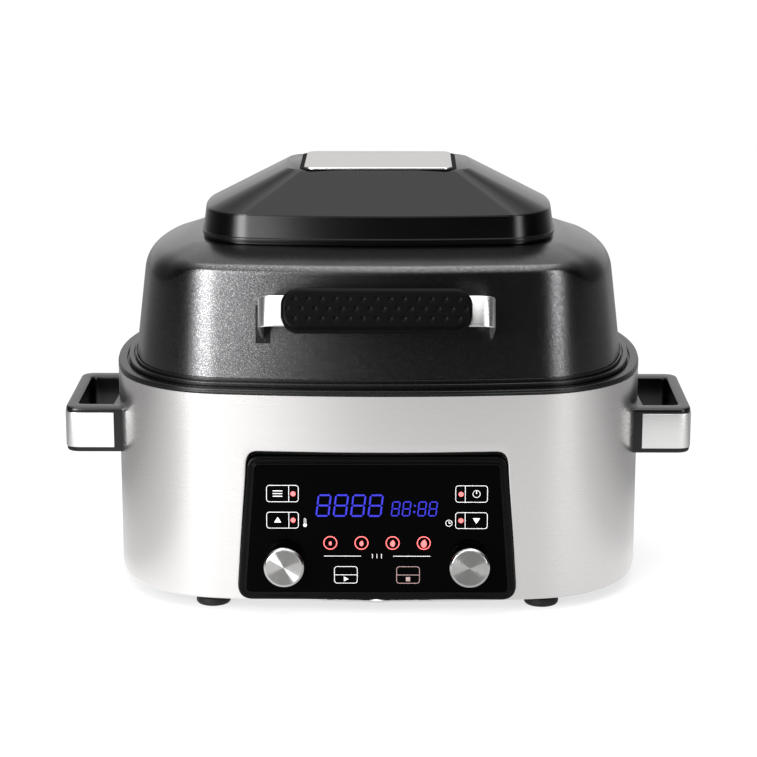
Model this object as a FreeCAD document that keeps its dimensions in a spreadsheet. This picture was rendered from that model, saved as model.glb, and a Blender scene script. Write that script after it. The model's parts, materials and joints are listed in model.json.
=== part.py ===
import FreeCAD, Part
import math
import operator
import os
from types import SimpleNamespace

import Sketcher

# Air fryer grill with a hinged lid. Millimetres, +Z up, front towards -Y.
# Bodies are drawn about the middle of the plan and then shifted so that the origin
# lies under the middle of the whole object.

driving_sizes = {
    # plan of the body: four shallow arcs joined by corner arcs
    "body_half_width": 181.1,
    "body_half_depth": 119.8,
    "body_front_radius": 857.0,
    "body_side_radius": 212.6,
    "body_corner_radius": 78.0,
    # clearances
    "fit_gap": 0.3,
    "lid_gap": 0.4,
    "running_gap": 0.05,
    "screw_gap": 0.1,
    # steel wall and tray
    "wall_foot": 9.0,
    "wall_top": 150.4,
    "sheet_thickness": 0.8,
    "wall_curl": 5.0,
    "tray_floor": 2.5,
    "tray_skirt": 2.0,
    "tray_height": 22.0,
    "boss_radius": 3.5,
    "boss_height": 6.0,
    # feet
    "foot_radius": 11.8,
    "foot_height": 5.5,
    "foot_side_inset": 70.1,
    "foot_end_inset": 27.4,
    "foot_seat_radius": 9.5,
    "foot_screw_sink": 2.0,
    # screws
    "screw_radius": 1.5,
    "screw_head_radius": 3.0,
    "screw_head": 2.2,
    # top rim, pot and liner
    "rim_rise": 3.5,
    "rim_lip": 6.5,
    "rim_ledge_drop": 1.8,
    "rim_plate": 4.0,
    "rim_skirt": 10.0,
    "pot_ledge_inset": 20.0,
    "pot_ledge_drop": 1.5,
    "rim_opening_inset": 28.0,
    "liner_step": 1.0,
    "liner_flange": 8.0,
    "liner_floor": 40.0,
    "pot_wall": 1.2,
    "pot_gap": 1.2,
    "pot_stand": 11.2,
    "grill_thickness": 4.0,
    "grill_stand": 7.0,
    "grill_gap": 2.0,
    "grill_leg_radius": 5.0,
    "grill_leg_side_inset": 57.0,
    "grill_leg_end_inset": 25.6,
    "grill_slot": 7.0,
    "grill_pitch": 20.0,
    "grill_slot_inset": 30.6,
    # control panel, drawn in its own leaning plane
    "panel_tilt": 4.0,
    "panel_lift": 2.0,
    "panel_proud": 0.6,
    "panel_height": 97.2,
    "panel_bottom_half": 92.9,
    "panel_top_half": 85.7,
    "bezel_depth": 8.0,
    "bezel_rim": 5.5,
    "bezel_bottom_radius": 10.5,
    "bezel_top_radius": 8.0,
    "bezel_web": 2.0,
    "bezel_skin": 2.5,
    "glass_thickness": 2.4,
    "glass_sink": 0.3,
    "recess_height": 4.3,
    "recess_depth": 6.0,
    "board_back": 12.0,
    "board_thickness": 1.6,
    "board_side_margin": 13.7,
    "board_low_margin": 8.0,
    "board_high_margin": 11.2,
    "board_hole_margin": 5.0,
    "display_half_width": 44.0,
    "display_drop": 17.2,
    "display_tall": 27.0,
    # knobs and encoders
    "knob_radius": 13.3,
    "knob_skin": 1.0,
    "knob_chamfer": 1.2,
    "knob_front": 14.0,
    "knob_lift": 0.9,
    "knob_side_inset": 31.6,
    "knob_height": 25.2,
    "encoder_half": 6.0,
    "encoder_height": 6.0,
    "bush_radius": 4.2,
    "shaft_radius": 2.9,
    # side handles
    "grab_stand": 33.9,
    "grab_half_depth": 50.7,
    "grab_drop": 26.0,
    "grab_tall": 31.6,
    "grab_bar": 8.5,
    "grab_arm": 12.0,
    "grab_corner": 10.0,
    "grab_inner_corner": 5.0,
    "grab_boss_radius": 5.0,
    "grab_boss_depth": 9.0,
    "trim_margin": 3.5,
    "trim_thickness": 0.7,
    "trim_length": 34.0,
    # hinge
    "hinge_behind": 7.6,
    "hinge_rise": 3.9,
    "hinge_spread": 60.0,
    "knuckle_radius": 7.5,
    "knuckle_half": 6.6,
    "ear_width": 4.5,
    "pin_radius": 2.5,
    # lid flange, seal and liner
    "flange_inset": 7.7,
    "flange_lip": 4.2,
    "flange_step": 1.6,
    "flange_step_inset": 10.0,
    "flange_inner_inset": 22.5,
    "seal_width": 5.2,
    "lid_liner_flange_inset": 16.5,
    "lid_liner_inset": 34.0,
    "lid_liner_height": 48.0,
    # domed lid shell
    "dome_inset": 13.2,
    "dome_thickness": 1.0,
    "dome_draft": 6.9,
    "dome_height": 70.7,
    "shoulder_radius": 21.6,
    "crown_slope": 19.2,
    "crown_inset": 50.0,
    # top cap: a flared band and a hipped top, each a plan of its own
    "cap_band": 17.5,
    "cap_hip": 27.9,
    "cap_wall": 2.2,
    "cap_flare": 3.0,
    "cap_half_width": 118.2,
    "cap_half_depth": 59.6,
    "cap_front_radius": 700.0,
    "cap_side_radius": 157.0,
    "cap_corner_radius": 34.5,
    "crest_half_width": 62.9,
    "crest_half_depth": 38.1,
    "crest_front_radius": 600.0,
    "crest_side_radius": 200.0,
    "crest_corner_radius": 14.0,
    "neck_height": 2.3,
    "neck_inset": 6.0,
    "neck_wall": 3.0,
    "neck_flange": 1.5,
    "neck_overhang": 2.0,
    "vent_slot": 4.0,
    "vent_pitch": 9.0,
    "vent_margin": 3.5,
    "plate_half_width": 50.0,
    "plate_margin": 1.5,
    "plate_thickness": 1.7,
    "plate_corner": 7.0,
    # lid handle: a bent strap in a plane that climbs outwards, and a grip on its front run
    "strap_tilt": 23.0,
    "strap_rise": 36.2,
    "strap_reach": 46.4,
    "strap_half": 76.2,
    "strap_tall": 20.0,
    "strap_thickness": 2.0,
    "strap_bend": 11.0,
    "strap_tail": 10.0,
    "grip_end_gap": 15.0,
    "grip_tall": 28.2,
    "grip_thickness": 13.0,
    "grip_end_radius": 11.0,
    "grip_edge": 3.5,
    "collar_half": 4.7,
    "collar_tall": 25.0,
    "collar_thickness": 1.0,
    "bracket_thickness": 1.5,
    "bracket_foot": 12.0,
    "bracket_length": 7.0,
    "strap_screw_back": 5.5,
    # fan, motor and heater
    "motor_lift": 11.0,
    "bracket_heater_gap": 21.0,
    "bracket_half_depth": 20.0,
    "motor_radius": 30.0,
    "motor_height": 32.0,
    "spindle_radius": 3.0,
    "spindle_hole_radius": 6.0,
    "fan_heater_gap": 16.0,
    "fan_hub_radius": 9.0,
    "fan_drop": 6.0,
    "fan_height": 13.0,
    "fan_disc": 1.2,
    "nut_radius": 6.0,
    "nut_height": 4.0,
    "cooler_radius": 36.0,
    "cooler_lift": 4.0,
    "cooler_height": 11.0,
    "heater_tube_radius": 3.25,
    "heater_drop": 13.0,
    "heater_gap_angle": 8.0,
    "heater_leg": 8.0,
    "clip_half": 6.0,
    "clip_width": 6.0,
    "guard_wall_gap": 5.8,
    "guard_margin": 14.0,
    "guard_gap": 3.0,
    "guard_sheet": 1.0,
    "guard_slot_inner": 18.0,
    "guard_slot_width": 5.0,
    "guard_window_half": 11.0,
    "thermostat_radius": 9.0,
    "thermostat_height": 9.0,
    "thermostat_side": 92.0,
    # power board and cord gland
    "power_left": 80.0,
    "power_right": 40.0,
    "power_near": 20.0,
    "power_far": 82.0,
    "coil_half": 18.0,
    "coil_height": 15.0,
    "relay_width": 16.0,
    "relay_height": 12.0,
    "gland_rise": 13.2,
    "gland_radius": 8.0,
    "gland_flange_radius": 11.0,
    "gland_flange": 4.0,
    "gland_bore_radius": 4.0,
    "gland_depth": 10.0,
}

os.makedirs("parts", exist_ok=True)
doc = FreeCAD.newDocument("AirFryerGrill")
sheet = doc.addObject("Spreadsheet::Sheet", "Sizes")
for row, (alias, number) in enumerate(driving_sizes.items(), start=1):
    sheet.set(f"A{row}", alias)
    sheet.set(f"B{row}", str(number))
    sheet.setAlias(f"B{row}", alias)


class Size:
    """A driving dimension, or a sum of some: its expression in the sheet and its value now."""

    signs = {"+": operator.add, "-": operator.sub, "*": operator.mul, "/": operator.truediv}

    def __init__(self, text, value):
        self.text = text
        self.value = value

    def join(self, sign, other, flipped=False):
        left, right = (as_size(other), self) if flipped else (self, as_size(other))
        return Size(f"({left.text} {sign} {right.text})", self.signs[sign](left.value, right.value))

    def __add__(self, other):
        return self.join("+", other)

    def __radd__(self, other):
        return self.join("+", other, True)

    def __sub__(self, other):
        return self.join("-", other)

    def __rsub__(self, other):
        return self.join("-", other, True)

    def __mul__(self, other):
        return self.join("*", other)

    def __rmul__(self, other):
        return self.join("*", other, True)

    def __truediv__(self, other):
        return self.join("/", other)

    def __neg__(self):
        return 0 - self


def as_size(value):
    return value if isinstance(value, Size) else Size(str(value), value)


def sine(angle):
    return Size(f"sin({angle.text})", math.sin(math.radians(angle.value)))


def cosine(angle):
    return Size(f"cos({angle.text})", math.cos(math.radians(angle.value)))


def tangent(angle):
    return Size(f"tan({angle.text})", math.tan(math.radians(angle.value)))


s = SimpleNamespace(**{alias: Size(f"Sizes.{alias}", number) for alias, number in driving_sizes.items()})
up = FreeCAD.Vector(0, 0, 1)


def bind(thing, path, size):
    thing.setExpression(path, as_size(size).text)


def limit(sketch, kind, *terms):
    """A sketch dimension whose last term is the size that drives it."""
    size = terms[-1]
    index = sketch.addConstraint(Sketcher.Constraint(kind, *terms[:-1], size.value))
    sketch.setExpression(f"Constraints[{index}]", size.text)


def pin(sketch, curve, end, point):
    """Holds one point of a curve at a pair of sizes; a plain 0 puts it on the axis."""
    for kind, axis, place in (("DistanceX", -2, point[0]), ("DistanceY", -1, point[1])):
        if isinstance(place, Size):
            limit(sketch, kind, -1, 1, curve, end, place)
        else:
            sketch.addConstraint(Sketcher.Constraint("PointOnObject", curve, end, axis))


def flat(point):
    return FreeCAD.Vector(as_size(point[0]).value, as_size(point[1]).value, 0)


class Circle:
    """A full circle."""

    def __init__(self, x, y, radius):
        self.centre = (x, y)
        self.radius = radius

    def draw(self, sketch):
        curve = sketch.addGeometry(Part.Circle(flat(self.centre), up, self.radius.value), False)
        pin(sketch, curve, 3, self.centre)
        limit(sketch, "Radius", curve, self.radius)


class Path:
    """A closed outline of straight runs and arcs through points that are pairs of sizes."""

    def __init__(self, *points):
        self.steps = [(point, None) for point in points]

    def arc(self, point, centre, radius, turn):
        """Goes on to point along an arc; turn is 1 anticlockwise and -1 clockwise."""
        self.steps.append((point, (centre, radius, turn)))
        return self

    def line(self, *points):
        self.steps.extend((point, None) for point in points)
        return self

    def curve(self, start, step):
        point, bend = step
        if bend is None:
            return Part.LineSegment(flat(start), flat(point))
        centre, radius, turn = bend
        ends = (start, point) if turn > 0 else (point, start)
        first, last = [math.atan2(*reversed((flat(end) - flat(centre))[:2])) for end in ends]
        if last < first:
            last += 2 * math.pi
        return Part.ArcOfCircle(Part.Circle(flat(centre), up, radius.value), first, last)

    def draw(self, sketch):
        count = len(self.steps)
        ends = []
        for index, step in enumerate(self.steps):
            curve = sketch.addGeometry(self.curve(self.steps[index - 1][0], step), False)
            backward = step[1] is not None and step[1][2] < 0
            ends.append((curve, 2 if backward else 1, 1 if backward else 2))
        for index in range(count):
            curve, start, stop = ends[index]
            after, next_start, _ = ends[(index + 1) % count]
            sketch.addConstraint(Sketcher.Constraint("Coincident", curve, stop, after, next_start))
            pin(sketch, curve, stop, self.steps[index][0])
            if self.steps[index][1] is not None:
                limit(sketch, "Radius", curve, self.steps[index][1][1])


def rectangle(left, right, low, high):
    return Path((left, low), (right, low), (right, high), (left, high))


def rounded_rectangle(left, right, low, high, radius, round_left=True, round_right=True):
    """A rectangle with rounded corners at its left end, its right end or both."""
    path = Path()
    if round_left:
        path.arc((left + radius, low), (left + radius, low + radius), radius, 1)
    else:
        path.line((left, low))
    if round_right:
        path.line((right - radius, low))
        path.arc((right, low + radius), (right - radius, low + radius), radius, 1)
        path.line((right, high - radius))
        path.arc((right - radius, high), (right - radius, high - radius), radius, 1)
    else:
        path.line((right, low), (right, high))
    if round_left:
        path.line((left + radius, high))
        path.arc((left, high - radius), (left + radius, high - radius), radius, 1)
        path.line((left, low + radius))
    else:
        path.line((left, high))
    return path


class Plan:
    """A rounded square of tangent arcs: shallow front, back and sides, tighter corners."""

    def __init__(self, half_width, half_depth, front_radius, side_radius, corner_radius):
        self.sizes = (half_width, half_depth, front_radius, side_radius, corner_radius)

    def inset(self, depth):
        return Plan(*[size - depth for size in self.sizes])

    def corner_centre(self):
        """Where circles about the front and side centres, less the corner's radius, cross."""
        half_width, half_depth, front, side, corner = [size.value for size in self.sizes]
        front_y = front - half_depth
        side_x = half_width - side
        apart = math.hypot(front_y, side_x)
        along = ((front - corner) ** 2 - (side - corner) ** 2 + apart ** 2) / (2 * apart)
        across = math.sqrt((front - corner) ** 2 - along ** 2)
        x = (along * side_x + across * front_y) / apart
        y = front_y - (along * front_y - across * side_x) / apart
        return x, y

    def arcs(self):
        half_width, half_depth, front, side, corner = [size.value for size in self.sizes]
        x, y = self.corner_centre()
        front_y = front - half_depth
        side_x = half_width - side
        low = math.atan2(y - front_y, x)
        high = math.atan2(y, x - side_x)
        turn = math.pi
        spans = (
            (0, front_y, front, -turn - low, low),
            (x, y, corner, low, high),
            (side_x, 0, side, high, -high),
            (x, -y, corner, -high, -low),
            (0, -front_y, front, -low, turn + low),
            (-x, -y, corner, turn + low, turn + high),
            (-side_x, 0, side, turn + high, turn - high),
            (-x, y, corner, turn - high, turn - low),
        )
        return [
            Part.ArcOfCircle(Part.Circle(FreeCAD.Vector(cx, cy, 0), up, radius), first, last)
            for cx, cy, radius, first, last in spans
        ]

    def draw(self, sketch):
        half_width, half_depth, front, side, corner = self.sizes
        curves = sketch.addGeometry(self.arcs(), False)
        for index in range(8):
            joint = Sketcher.Constraint("Tangent", curves[index], 2, curves[(index + 1) % 8], 1)
            sketch.addConstraint(joint)
        for first, second in ((0, 4), (2, 6), (1, 3), (1, 5), (1, 7)):
            sketch.addConstraint(Sketcher.Constraint("Equal", curves[first], curves[second]))
        pin(sketch, curves[0], 3, (0, front - half_depth))
        pin(sketch, curves[4], 3, (0, half_depth - front))
        pin(sketch, curves[2], 3, (half_width - side, 0))
        pin(sketch, curves[6], 3, (side - half_width, 0))
        limit(sketch, "Radius", curves[0], front)
        limit(sketch, "Radius", curves[2], side)
        limit(sketch, "Radius", curves[1], corner)


# places that several pieces share
plan = Plan(
    s.body_half_width, s.body_half_depth, s.body_front_radius, s.body_side_radius, s.body_corner_radius,
)
tray_inset = s.sheet_thickness + s.fit_gap
tray_foot = s.wall_foot + s.sheet_thickness
tray_top = tray_foot + s.tray_floor
foot_x = s.body_half_width - s.foot_side_inset
foot_y = s.body_half_depth - s.foot_end_inset
rim_top = s.wall_top + s.rim_rise
rim_ledge = rim_top - s.rim_ledge_drop
rim_underside = rim_ledge - s.rim_plate
pot_ledge = rim_ledge - s.pot_ledge_drop
liner_inset = s.rim_opening_inset + s.liner_step
pot_inset = liner_inset + s.sheet_thickness + s.pot_gap
pot_floor = s.liner_floor + s.sheet_thickness + s.pot_stand
grill_inset = pot_inset + s.pot_wall + s.grill_gap
gland_height = tray_foot + s.tray_height + s.gland_rise
panel_foot = s.wall_foot + s.panel_lift
panel_front = s.body_half_depth + s.panel_proud
knob_x = s.panel_bottom_half - s.knob_side_inset
grab_reach = s.body_half_width + s.grab_stand
grab_high = s.wall_top - s.grab_drop
grab_low = grab_high - s.grab_tall
flange_foot = rim_ledge + s.lid_gap
flange_mid = flange_foot + s.flange_lip
dome_foot = flange_mid + s.flange_step
shoulder_height = dome_foot + s.dome_height
hinge_back = s.body_half_depth + s.hinge_behind
hinge_height = dome_foot + s.hinge_rise
lid_liner_top = dome_foot + s.lid_liner_height
lid_liner_roof = lid_liner_top - s.sheet_thickness
strap_foot_height = dome_foot + s.strap_rise
strap_back = s.strap_reach * cosine(s.strap_tilt)


def dome_inset_at(height):
    """How far the lid's wall lies inside the plan at a height below its shoulder."""
    return s.dome_inset + (height - dome_foot) * tangent(s.dome_draft)


def bow(x, radius):
    """How far an arc of this radius falls back at x from its middle."""
    return x * x / (radius + radius)


strap_foot_inset = dome_inset_at(strap_foot_height)
strap_foot_bow = bow(s.strap_half, s.body_front_radius - strap_foot_inset)
strap_foot = s.body_half_depth - strap_foot_inset - strap_foot_bow
grip_front = (
    strap_foot
    + strap_back
    + (s.grip_tall / 2 - s.grip_edge) * sine(s.strap_tilt)
    + (s.grip_thickness / 2 - s.grip_edge) * cosine(s.strap_tilt)
    + s.grip_edge
)
plan_shift = (grip_front - hinge_back - s.knuckle_radius) / 2
sub_parts = []


def new_body(label, y=0, z=0, turn=None):
    """A sub-part drawn about its own origin, which lies at y, z and is turned about X."""
    body = doc.addObject("PartDesign::Body", label)
    body.Label = label
    if turn is not None:
        about_x = FreeCAD.Rotation(FreeCAD.Vector(1, 0, 0), turn.value)
        body.Placement = FreeCAD.Placement(FreeCAD.Vector(), about_x)
        bind(body, "Placement.Rotation.Angle", turn)
    bind(body, "Placement.Base.y", plan_shift + y)
    bind(body, "Placement.Base.z", z)
    sub_parts.append(body)
    return body


def panel_body(label):
    """A sub-part of the control panel: local Y climbs the panel and local Z points out of it."""
    return new_body(label, -panel_front, panel_foot, 90 - s.panel_tilt)


def strap_body(label):
    """A sub-part of the lid handle: local Z points out along the strap's legs."""
    return new_body(label, -strap_foot, strap_foot_height, 90 - s.strap_tilt)


def origin_feature(body, role):
    return next(feature for feature in body.Origin.OriginFeatures if feature.Role == role)


def sketch_on(body, name, outlines, at, plane):
    """A sketch on one of the body's own planes, moved along that plane's normal by at."""
    sketch = body.newObject("Sketcher::SketchObject", f"{body.Label}_{name}_sketch")
    sketch.AttachmentSupport = (origin_feature(body, plane), "")
    sketch.MapMode = "FlatFace"
    bind(sketch, "AttachmentOffset.Base.z", at)
    for outline in outlines:
        outline.draw(sketch)
    return sketch


def pad(body, name, outlines, at, length, plane="XY_Plane", both_ways=False):
    feature = body.newObject("PartDesign::Pad", f"{body.Label}_{name}")
    feature.Profile = sketch_on(body, name, outlines, at, plane)
    bind(feature, "Length", length)
    if both_ways:
        feature.SideType = "Symmetric"
    return feature


def cut(body, name, outlines, at, length, plane="XY_Plane", both_ways=False):
    """Removes the outlines' prism, along the plane's normal."""
    feature = body.newObject("PartDesign::Pocket", f"{body.Label}_{name}")
    feature.Profile = sketch_on(body, name, outlines, at, plane)
    feature.Reversed = True
    bind(feature, "Length", length)
    if both_ways:
        feature.SideType = "Symmetric"
    return feature


def loft(body, name, kind, levels):
    """A straight-sided loft through (outline, height) levels."""
    sketches = [
        sketch_on(body, f"{name}_{index}", [outline], height, "XY_Plane")
        for index, (outline, height) in enumerate(levels)
    ]
    feature = body.newObject(f"PartDesign::{kind}Loft", f"{body.Label}_{name}")
    feature.Profile = sketches[0]
    feature.Sections = sketches[1:]
    feature.Ruled = True
    return feature


def fan_out(body, name, feature, count, axis="Z_Axis"):
    """Repeats a feature evenly round the body's axis."""
    pattern = body.newObject("PartDesign::PolarPattern", f"{body.Label}_{name}")
    pattern.Originals = [feature]
    pattern.Axis = (origin_feature(body, axis), [""])
    pattern.Angle = 360
    pattern.Occurrences = count
    body.Tip = pattern
    return pattern


def line_up(body, name, feature, pitch, count, axis="X_Axis"):
    """Repeats a feature at a pitch along one of the body's axes."""
    pattern = body.newObject("PartDesign::LinearPattern", f"{body.Label}_{name}")
    pattern.Originals = [feature]
    pattern.Direction = (origin_feature(body, axis), [""])
    bind(pattern, "Length", pitch * (count - 1))
    pattern.Occurrences = count
    body.Tip = pattern
    return pattern


def round_edges(body, name, feature, chosen, radius, kind="Fillet"):
    """Fillets or chamfers the edges of a feature that chosen picks."""
    doc.recompute()
    edges = feature.Shape.Edges
    names = [f"Edge{index}" for index, edge in enumerate(edges, start=1) if chosen(edge)]
    rounded = body.newObject(f"PartDesign::{kind}", f"{body.Label}_{name}")
    rounded.Base = (feature, names)
    bind(rounded, "Radius" if kind == "Fillet" else "Size", radius)
    return rounded


def upright(edge):
    """Whether an edge is straight and runs along Z."""
    run = edge.Vertexes[-1].Point - edge.Vertexes[0].Point
    return math.hypot(run.x, run.y) < 1e-6 < abs(run.z)


def four_corners(x, y, radius):
    return [Circle(side * x, end * y, radius) for side in (-1, 1) for end in (-1, 1)]


screw_hole = s.screw_radius + s.screw_gap


def make_base_tray():
    body = new_body("base_tray")
    pad(body, "floor", [plan.inset(tray_inset)], tray_foot, s.tray_floor)
    skirt = [plan.inset(tray_inset), plan.inset(tray_inset + s.tray_skirt)]
    pad(body, "skirt", skirt, tray_foot, s.tray_height)
    pad(body, "foot_seats", four_corners(foot_x, foot_y, s.foot_seat_radius), s.foot_height,
        tray_top - s.foot_height)
    board_posts = [
        Circle(x, y, s.boss_radius)
        for x in (s.boss_radius - s.power_left, s.power_right - s.boss_radius)
        for y in (s.power_near + s.boss_radius, s.power_far - s.boss_radius)
    ]
    pad(body, "board_posts", board_posts, tray_foot, s.tray_floor + s.boss_height)
    cut(body, "foot_screw_holes", four_corners(foot_x, foot_y, screw_hole), s.foot_height,
        tray_top - s.foot_height)
    notch_half = s.panel_bottom_half + s.fit_gap
    notch_back = s.bezel_depth + s.fit_gap + s.tray_height * sine(s.panel_tilt) - panel_front
    notch = rectangle(-notch_half, notch_half, -s.body_half_depth - s.tray_skirt, notch_back)
    cut(body, "panel_notch", [notch], tray_foot, s.tray_height)


def make_feet():
    places = {"front_left": (-1, -1), "front_right": (1, -1), "rear_left": (-1, 1), "rear_right": (1, 1)}
    for name, (side, end) in places.items():
        body = new_body(f"foot_{name}")
        x = side * foot_x
        y = end * foot_y
        pad(body, "pad", [Circle(x, y, s.foot_radius)], 0, s.foot_height)
        head_hole = Circle(x, y, s.screw_head_radius + s.fit_gap)
        cut(body, "head_hole", [head_hole], 0, s.foot_screw_sink + s.screw_head)
        cut(body, "shank_hole", [Circle(x, y, screw_hole)], 0, s.foot_height)
    body = new_body("foot_screws")
    heads = four_corners(foot_x, foot_y, s.screw_head_radius)
    pad(body, "heads", heads, s.foot_screw_sink, s.screw_head)
    shanks = four_corners(foot_x, foot_y, s.screw_radius)
    pad(body, "shanks", shanks, s.foot_screw_sink, tray_top - s.foot_screw_sink)


panel_top = panel_foot + s.panel_height * cosine(s.panel_tilt)
panel_taper = (s.panel_bottom_half - s.panel_top_half) / s.panel_height


def panel_outline(margin):
    """The panel's trapezium, drawn in by a margin."""
    low_half = s.panel_bottom_half - panel_taper * margin - margin
    high_half = s.panel_top_half + panel_taper * margin - margin
    high = s.panel_height - margin
    low = margin if isinstance(margin, Size) else 0
    return Path((-low_half, low), (low_half, low), (high_half, high), (-high_half, high))


def make_steel_wall():
    body = new_body("steel_wall")
    pad(body, "shell", [plan, plan.inset(s.sheet_thickness)], s.wall_foot, s.wall_top - s.wall_foot)
    pad(body, "bottom_curl", [plan, plan.inset(s.wall_curl)], s.wall_foot, s.sheet_thickness)
    # the panel's opening, cut from the front, and the slope that the wall is pressed in by above it
    low = panel_foot - s.bezel_depth * sine(s.panel_tilt) - s.fit_gap
    high = panel_top + s.fit_gap
    low_half = s.panel_bottom_half + s.fit_gap
    high_half = s.panel_top_half + s.fit_gap
    opening = Path((-low_half, low), (low_half, low), (high_half, high), (-high_half, high))
    near = s.body_half_depth - s.panel_bottom_half * s.panel_bottom_half / s.body_front_radius - s.wall_curl
    cut(body, "panel_opening", [opening], near, s.body_half_depth - near + s.fit_gap, "XZ_Plane")
    brow = high + s.recess_height
    edge = -s.body_half_depth
    back = s.recess_depth - s.body_half_depth
    slope = Path((edge, high), (back, high), (edge, brow))
    cut(body, "recess", [slope], 0, high_half * 2, "YZ_Plane", True)
    gauge = s.sheet_thickness
    shelf = Path((edge, brow), (back, high), (back, high + gauge), (edge, brow + gauge))
    pad(body, "shelf", [shelf], 0, high_half * 2, "YZ_Plane", True)
    beyond_x = s.body_half_width * 2
    beyond_y = s.body_half_depth * 2
    outside = [rectangle(-beyond_x, beyond_x, -beyond_y, beyond_y), plan]
    cut(body, "shelf_trim", outside, high, s.recess_height * 2)
    for name, side in (("left", -1), ("right", 1)):
        holes = [Circle(end * grab_screw_y, grab_middle, s.grab_boss_radius + s.fit_gap) for end in (-1, 1)]
        start = side * s.body_half_width - s.grab_boss_depth
        cut(body, f"{name}_grab_holes", holes, start, s.grab_boss_depth * 2, "YZ_Plane")
    gland_hole = [Circle(0, gland_height, s.gland_radius + s.fit_gap)]
    cut(body, "gland_hole", gland_hole, -s.body_half_depth - s.gland_depth, s.gland_depth * 2, "XZ_Plane")


grab_screw_y = s.grab_half_depth - s.grab_arm / 2
grab_middle = (grab_low + grab_high) / 2


def hinge_disc(radius):
    return Circle(hinge_back, hinge_height, radius)


def make_top_rim():
    body = new_body("top_rim")
    outer = plan.inset(tray_inset)
    pad(body, "lip", [plan, plan.inset(s.rim_lip)], s.wall_top, rim_top - s.wall_top)
    pad(body, "plate", [outer, plan.inset(s.pot_ledge_inset)], rim_underside, s.rim_plate)
    pot_seat = [outer, plan.inset(s.rim_opening_inset)]
    pad(body, "pot_seat", pot_seat, rim_underside, pot_ledge - rim_underside)
    skirt = [outer, plan.inset(tray_inset + s.tray_skirt)]
    pad(body, "skirt", skirt, rim_underside - s.rim_skirt, s.rim_skirt + s.sheet_thickness)
    # two pairs of hinge ears, each a disc on a web that rises from the lip
    reach = s.knuckle_radius * 0.7
    web = Path(
        (s.body_half_depth - s.rim_lip, s.wall_top + s.sheet_thickness),
        (s.body_half_depth, s.wall_top + s.sheet_thickness),
        (hinge_back + reach, hinge_height - reach),
        (hinge_back - reach, hinge_height + reach),
    )
    beside = s.knuckle_half + s.fit_gap
    for name, side in (("left", -1), ("right", 1)):
        for place, start in (("outer", beside), ("inner", -beside - s.ear_width)):
            at = side * s.hinge_spread + start
            pad(body, f"{name}_{place}_web", [web], at, s.ear_width, "YZ_Plane")
            pad(body, f"{name}_{place}_disc", [hinge_disc(s.knuckle_radius)], at, s.ear_width, "YZ_Plane")
    bore = [hinge_disc(s.pin_radius + s.running_gap)]
    cut(body, "pin_bore", bore, 0, (s.hinge_spread + s.knuckle_half + s.ear_width * 2) * 2, "YZ_Plane", True)


def make_hinge_pins():
    body = new_body("hinge_pins")
    length = (s.knuckle_half + s.fit_gap + s.ear_width) * 2
    for name, side in (("left", -1), ("right", 1)):
        at = side * s.hinge_spread - length / 2
        pad(body, name, [hinge_disc(s.pin_radius)], at, length, "YZ_Plane")


def make_inner_liner():
    body = new_body("inner_liner")
    outer = plan.inset(liner_inset)
    inner = plan.inset(liner_inset + s.sheet_thickness)
    pad(body, "floor", [outer], s.liner_floor, s.sheet_thickness)
    pad(body, "wall", [outer, inner], s.liner_floor, rim_underside - s.liner_floor)
    flange = [plan.inset(liner_inset - s.liner_flange), inner]
    pad(body, "flange", flange, rim_underside - s.sheet_thickness, s.sheet_thickness)


def make_inner_pot():
    body = new_body("inner_pot")
    outer = plan.inset(pot_inset)
    inner = plan.inset(pot_inset + s.pot_wall)
    top = pot_ledge + s.pot_wall
    pad(body, "floor", [outer], pot_floor, s.pot_wall)
    pad(body, "wall", [outer, inner], pot_floor, top - pot_floor)
    pad(body, "flange", [plan.inset(s.pot_ledge_inset + s.fit_gap * 2), inner], pot_ledge, s.pot_wall)


def make_grill_plate():
    body = new_body("grill_plate")
    floor = pot_floor + s.pot_wall
    half_width = s.body_half_width - grill_inset
    half_depth = s.body_half_depth - grill_inset
    pad(body, "plate", [plan.inset(grill_inset)], floor + s.grill_stand, s.grill_thickness)
    leg_x = half_width - s.grill_leg_side_inset
    leg_y = half_depth - s.grill_leg_end_inset
    legs = four_corners(leg_x, leg_y, s.grill_leg_radius)
    pad(body, "legs", legs, floor, s.grill_stand + s.grill_thickness)
    count = 9
    first = -s.grill_pitch * (count - 1) / 2
    slot_end = half_depth - s.grill_slot_inset
    slot = rounded_rectangle(first - s.grill_slot / 2, first + s.grill_slot / 2, -slot_end, slot_end,
                             s.grill_slot / 2 - s.fit_gap)
    first_slot = cut(body, "slot", [slot], floor + s.grill_stand, s.grill_thickness)
    line_up(body, "slots", first_slot, s.grill_pitch, count)


glass_back = s.glass_sink + s.glass_thickness + s.running_gap
web_back = glass_back + s.bezel_web
board_half_width = s.panel_top_half - s.board_side_margin
board_high = s.panel_height - s.board_high_margin
display_high = s.panel_height - s.display_drop
display_low = display_high - s.display_tall


def knob_circles(radius):
    return [Circle(side * knob_x, s.knob_height, radius) for side in (-1, 1)]


def board_holes(radius):
    x = board_half_width - s.board_hole_margin
    heights = (s.board_low_margin + s.board_hole_margin, board_high - s.board_hole_margin)
    return [Circle(side * x, y, radius) for side in (-1, 1) for y in heights]


def display_outline(margin):
    return rectangle(
        -s.display_half_width - margin, s.display_half_width + margin,
        display_low - margin, display_high + margin,
    )


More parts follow.
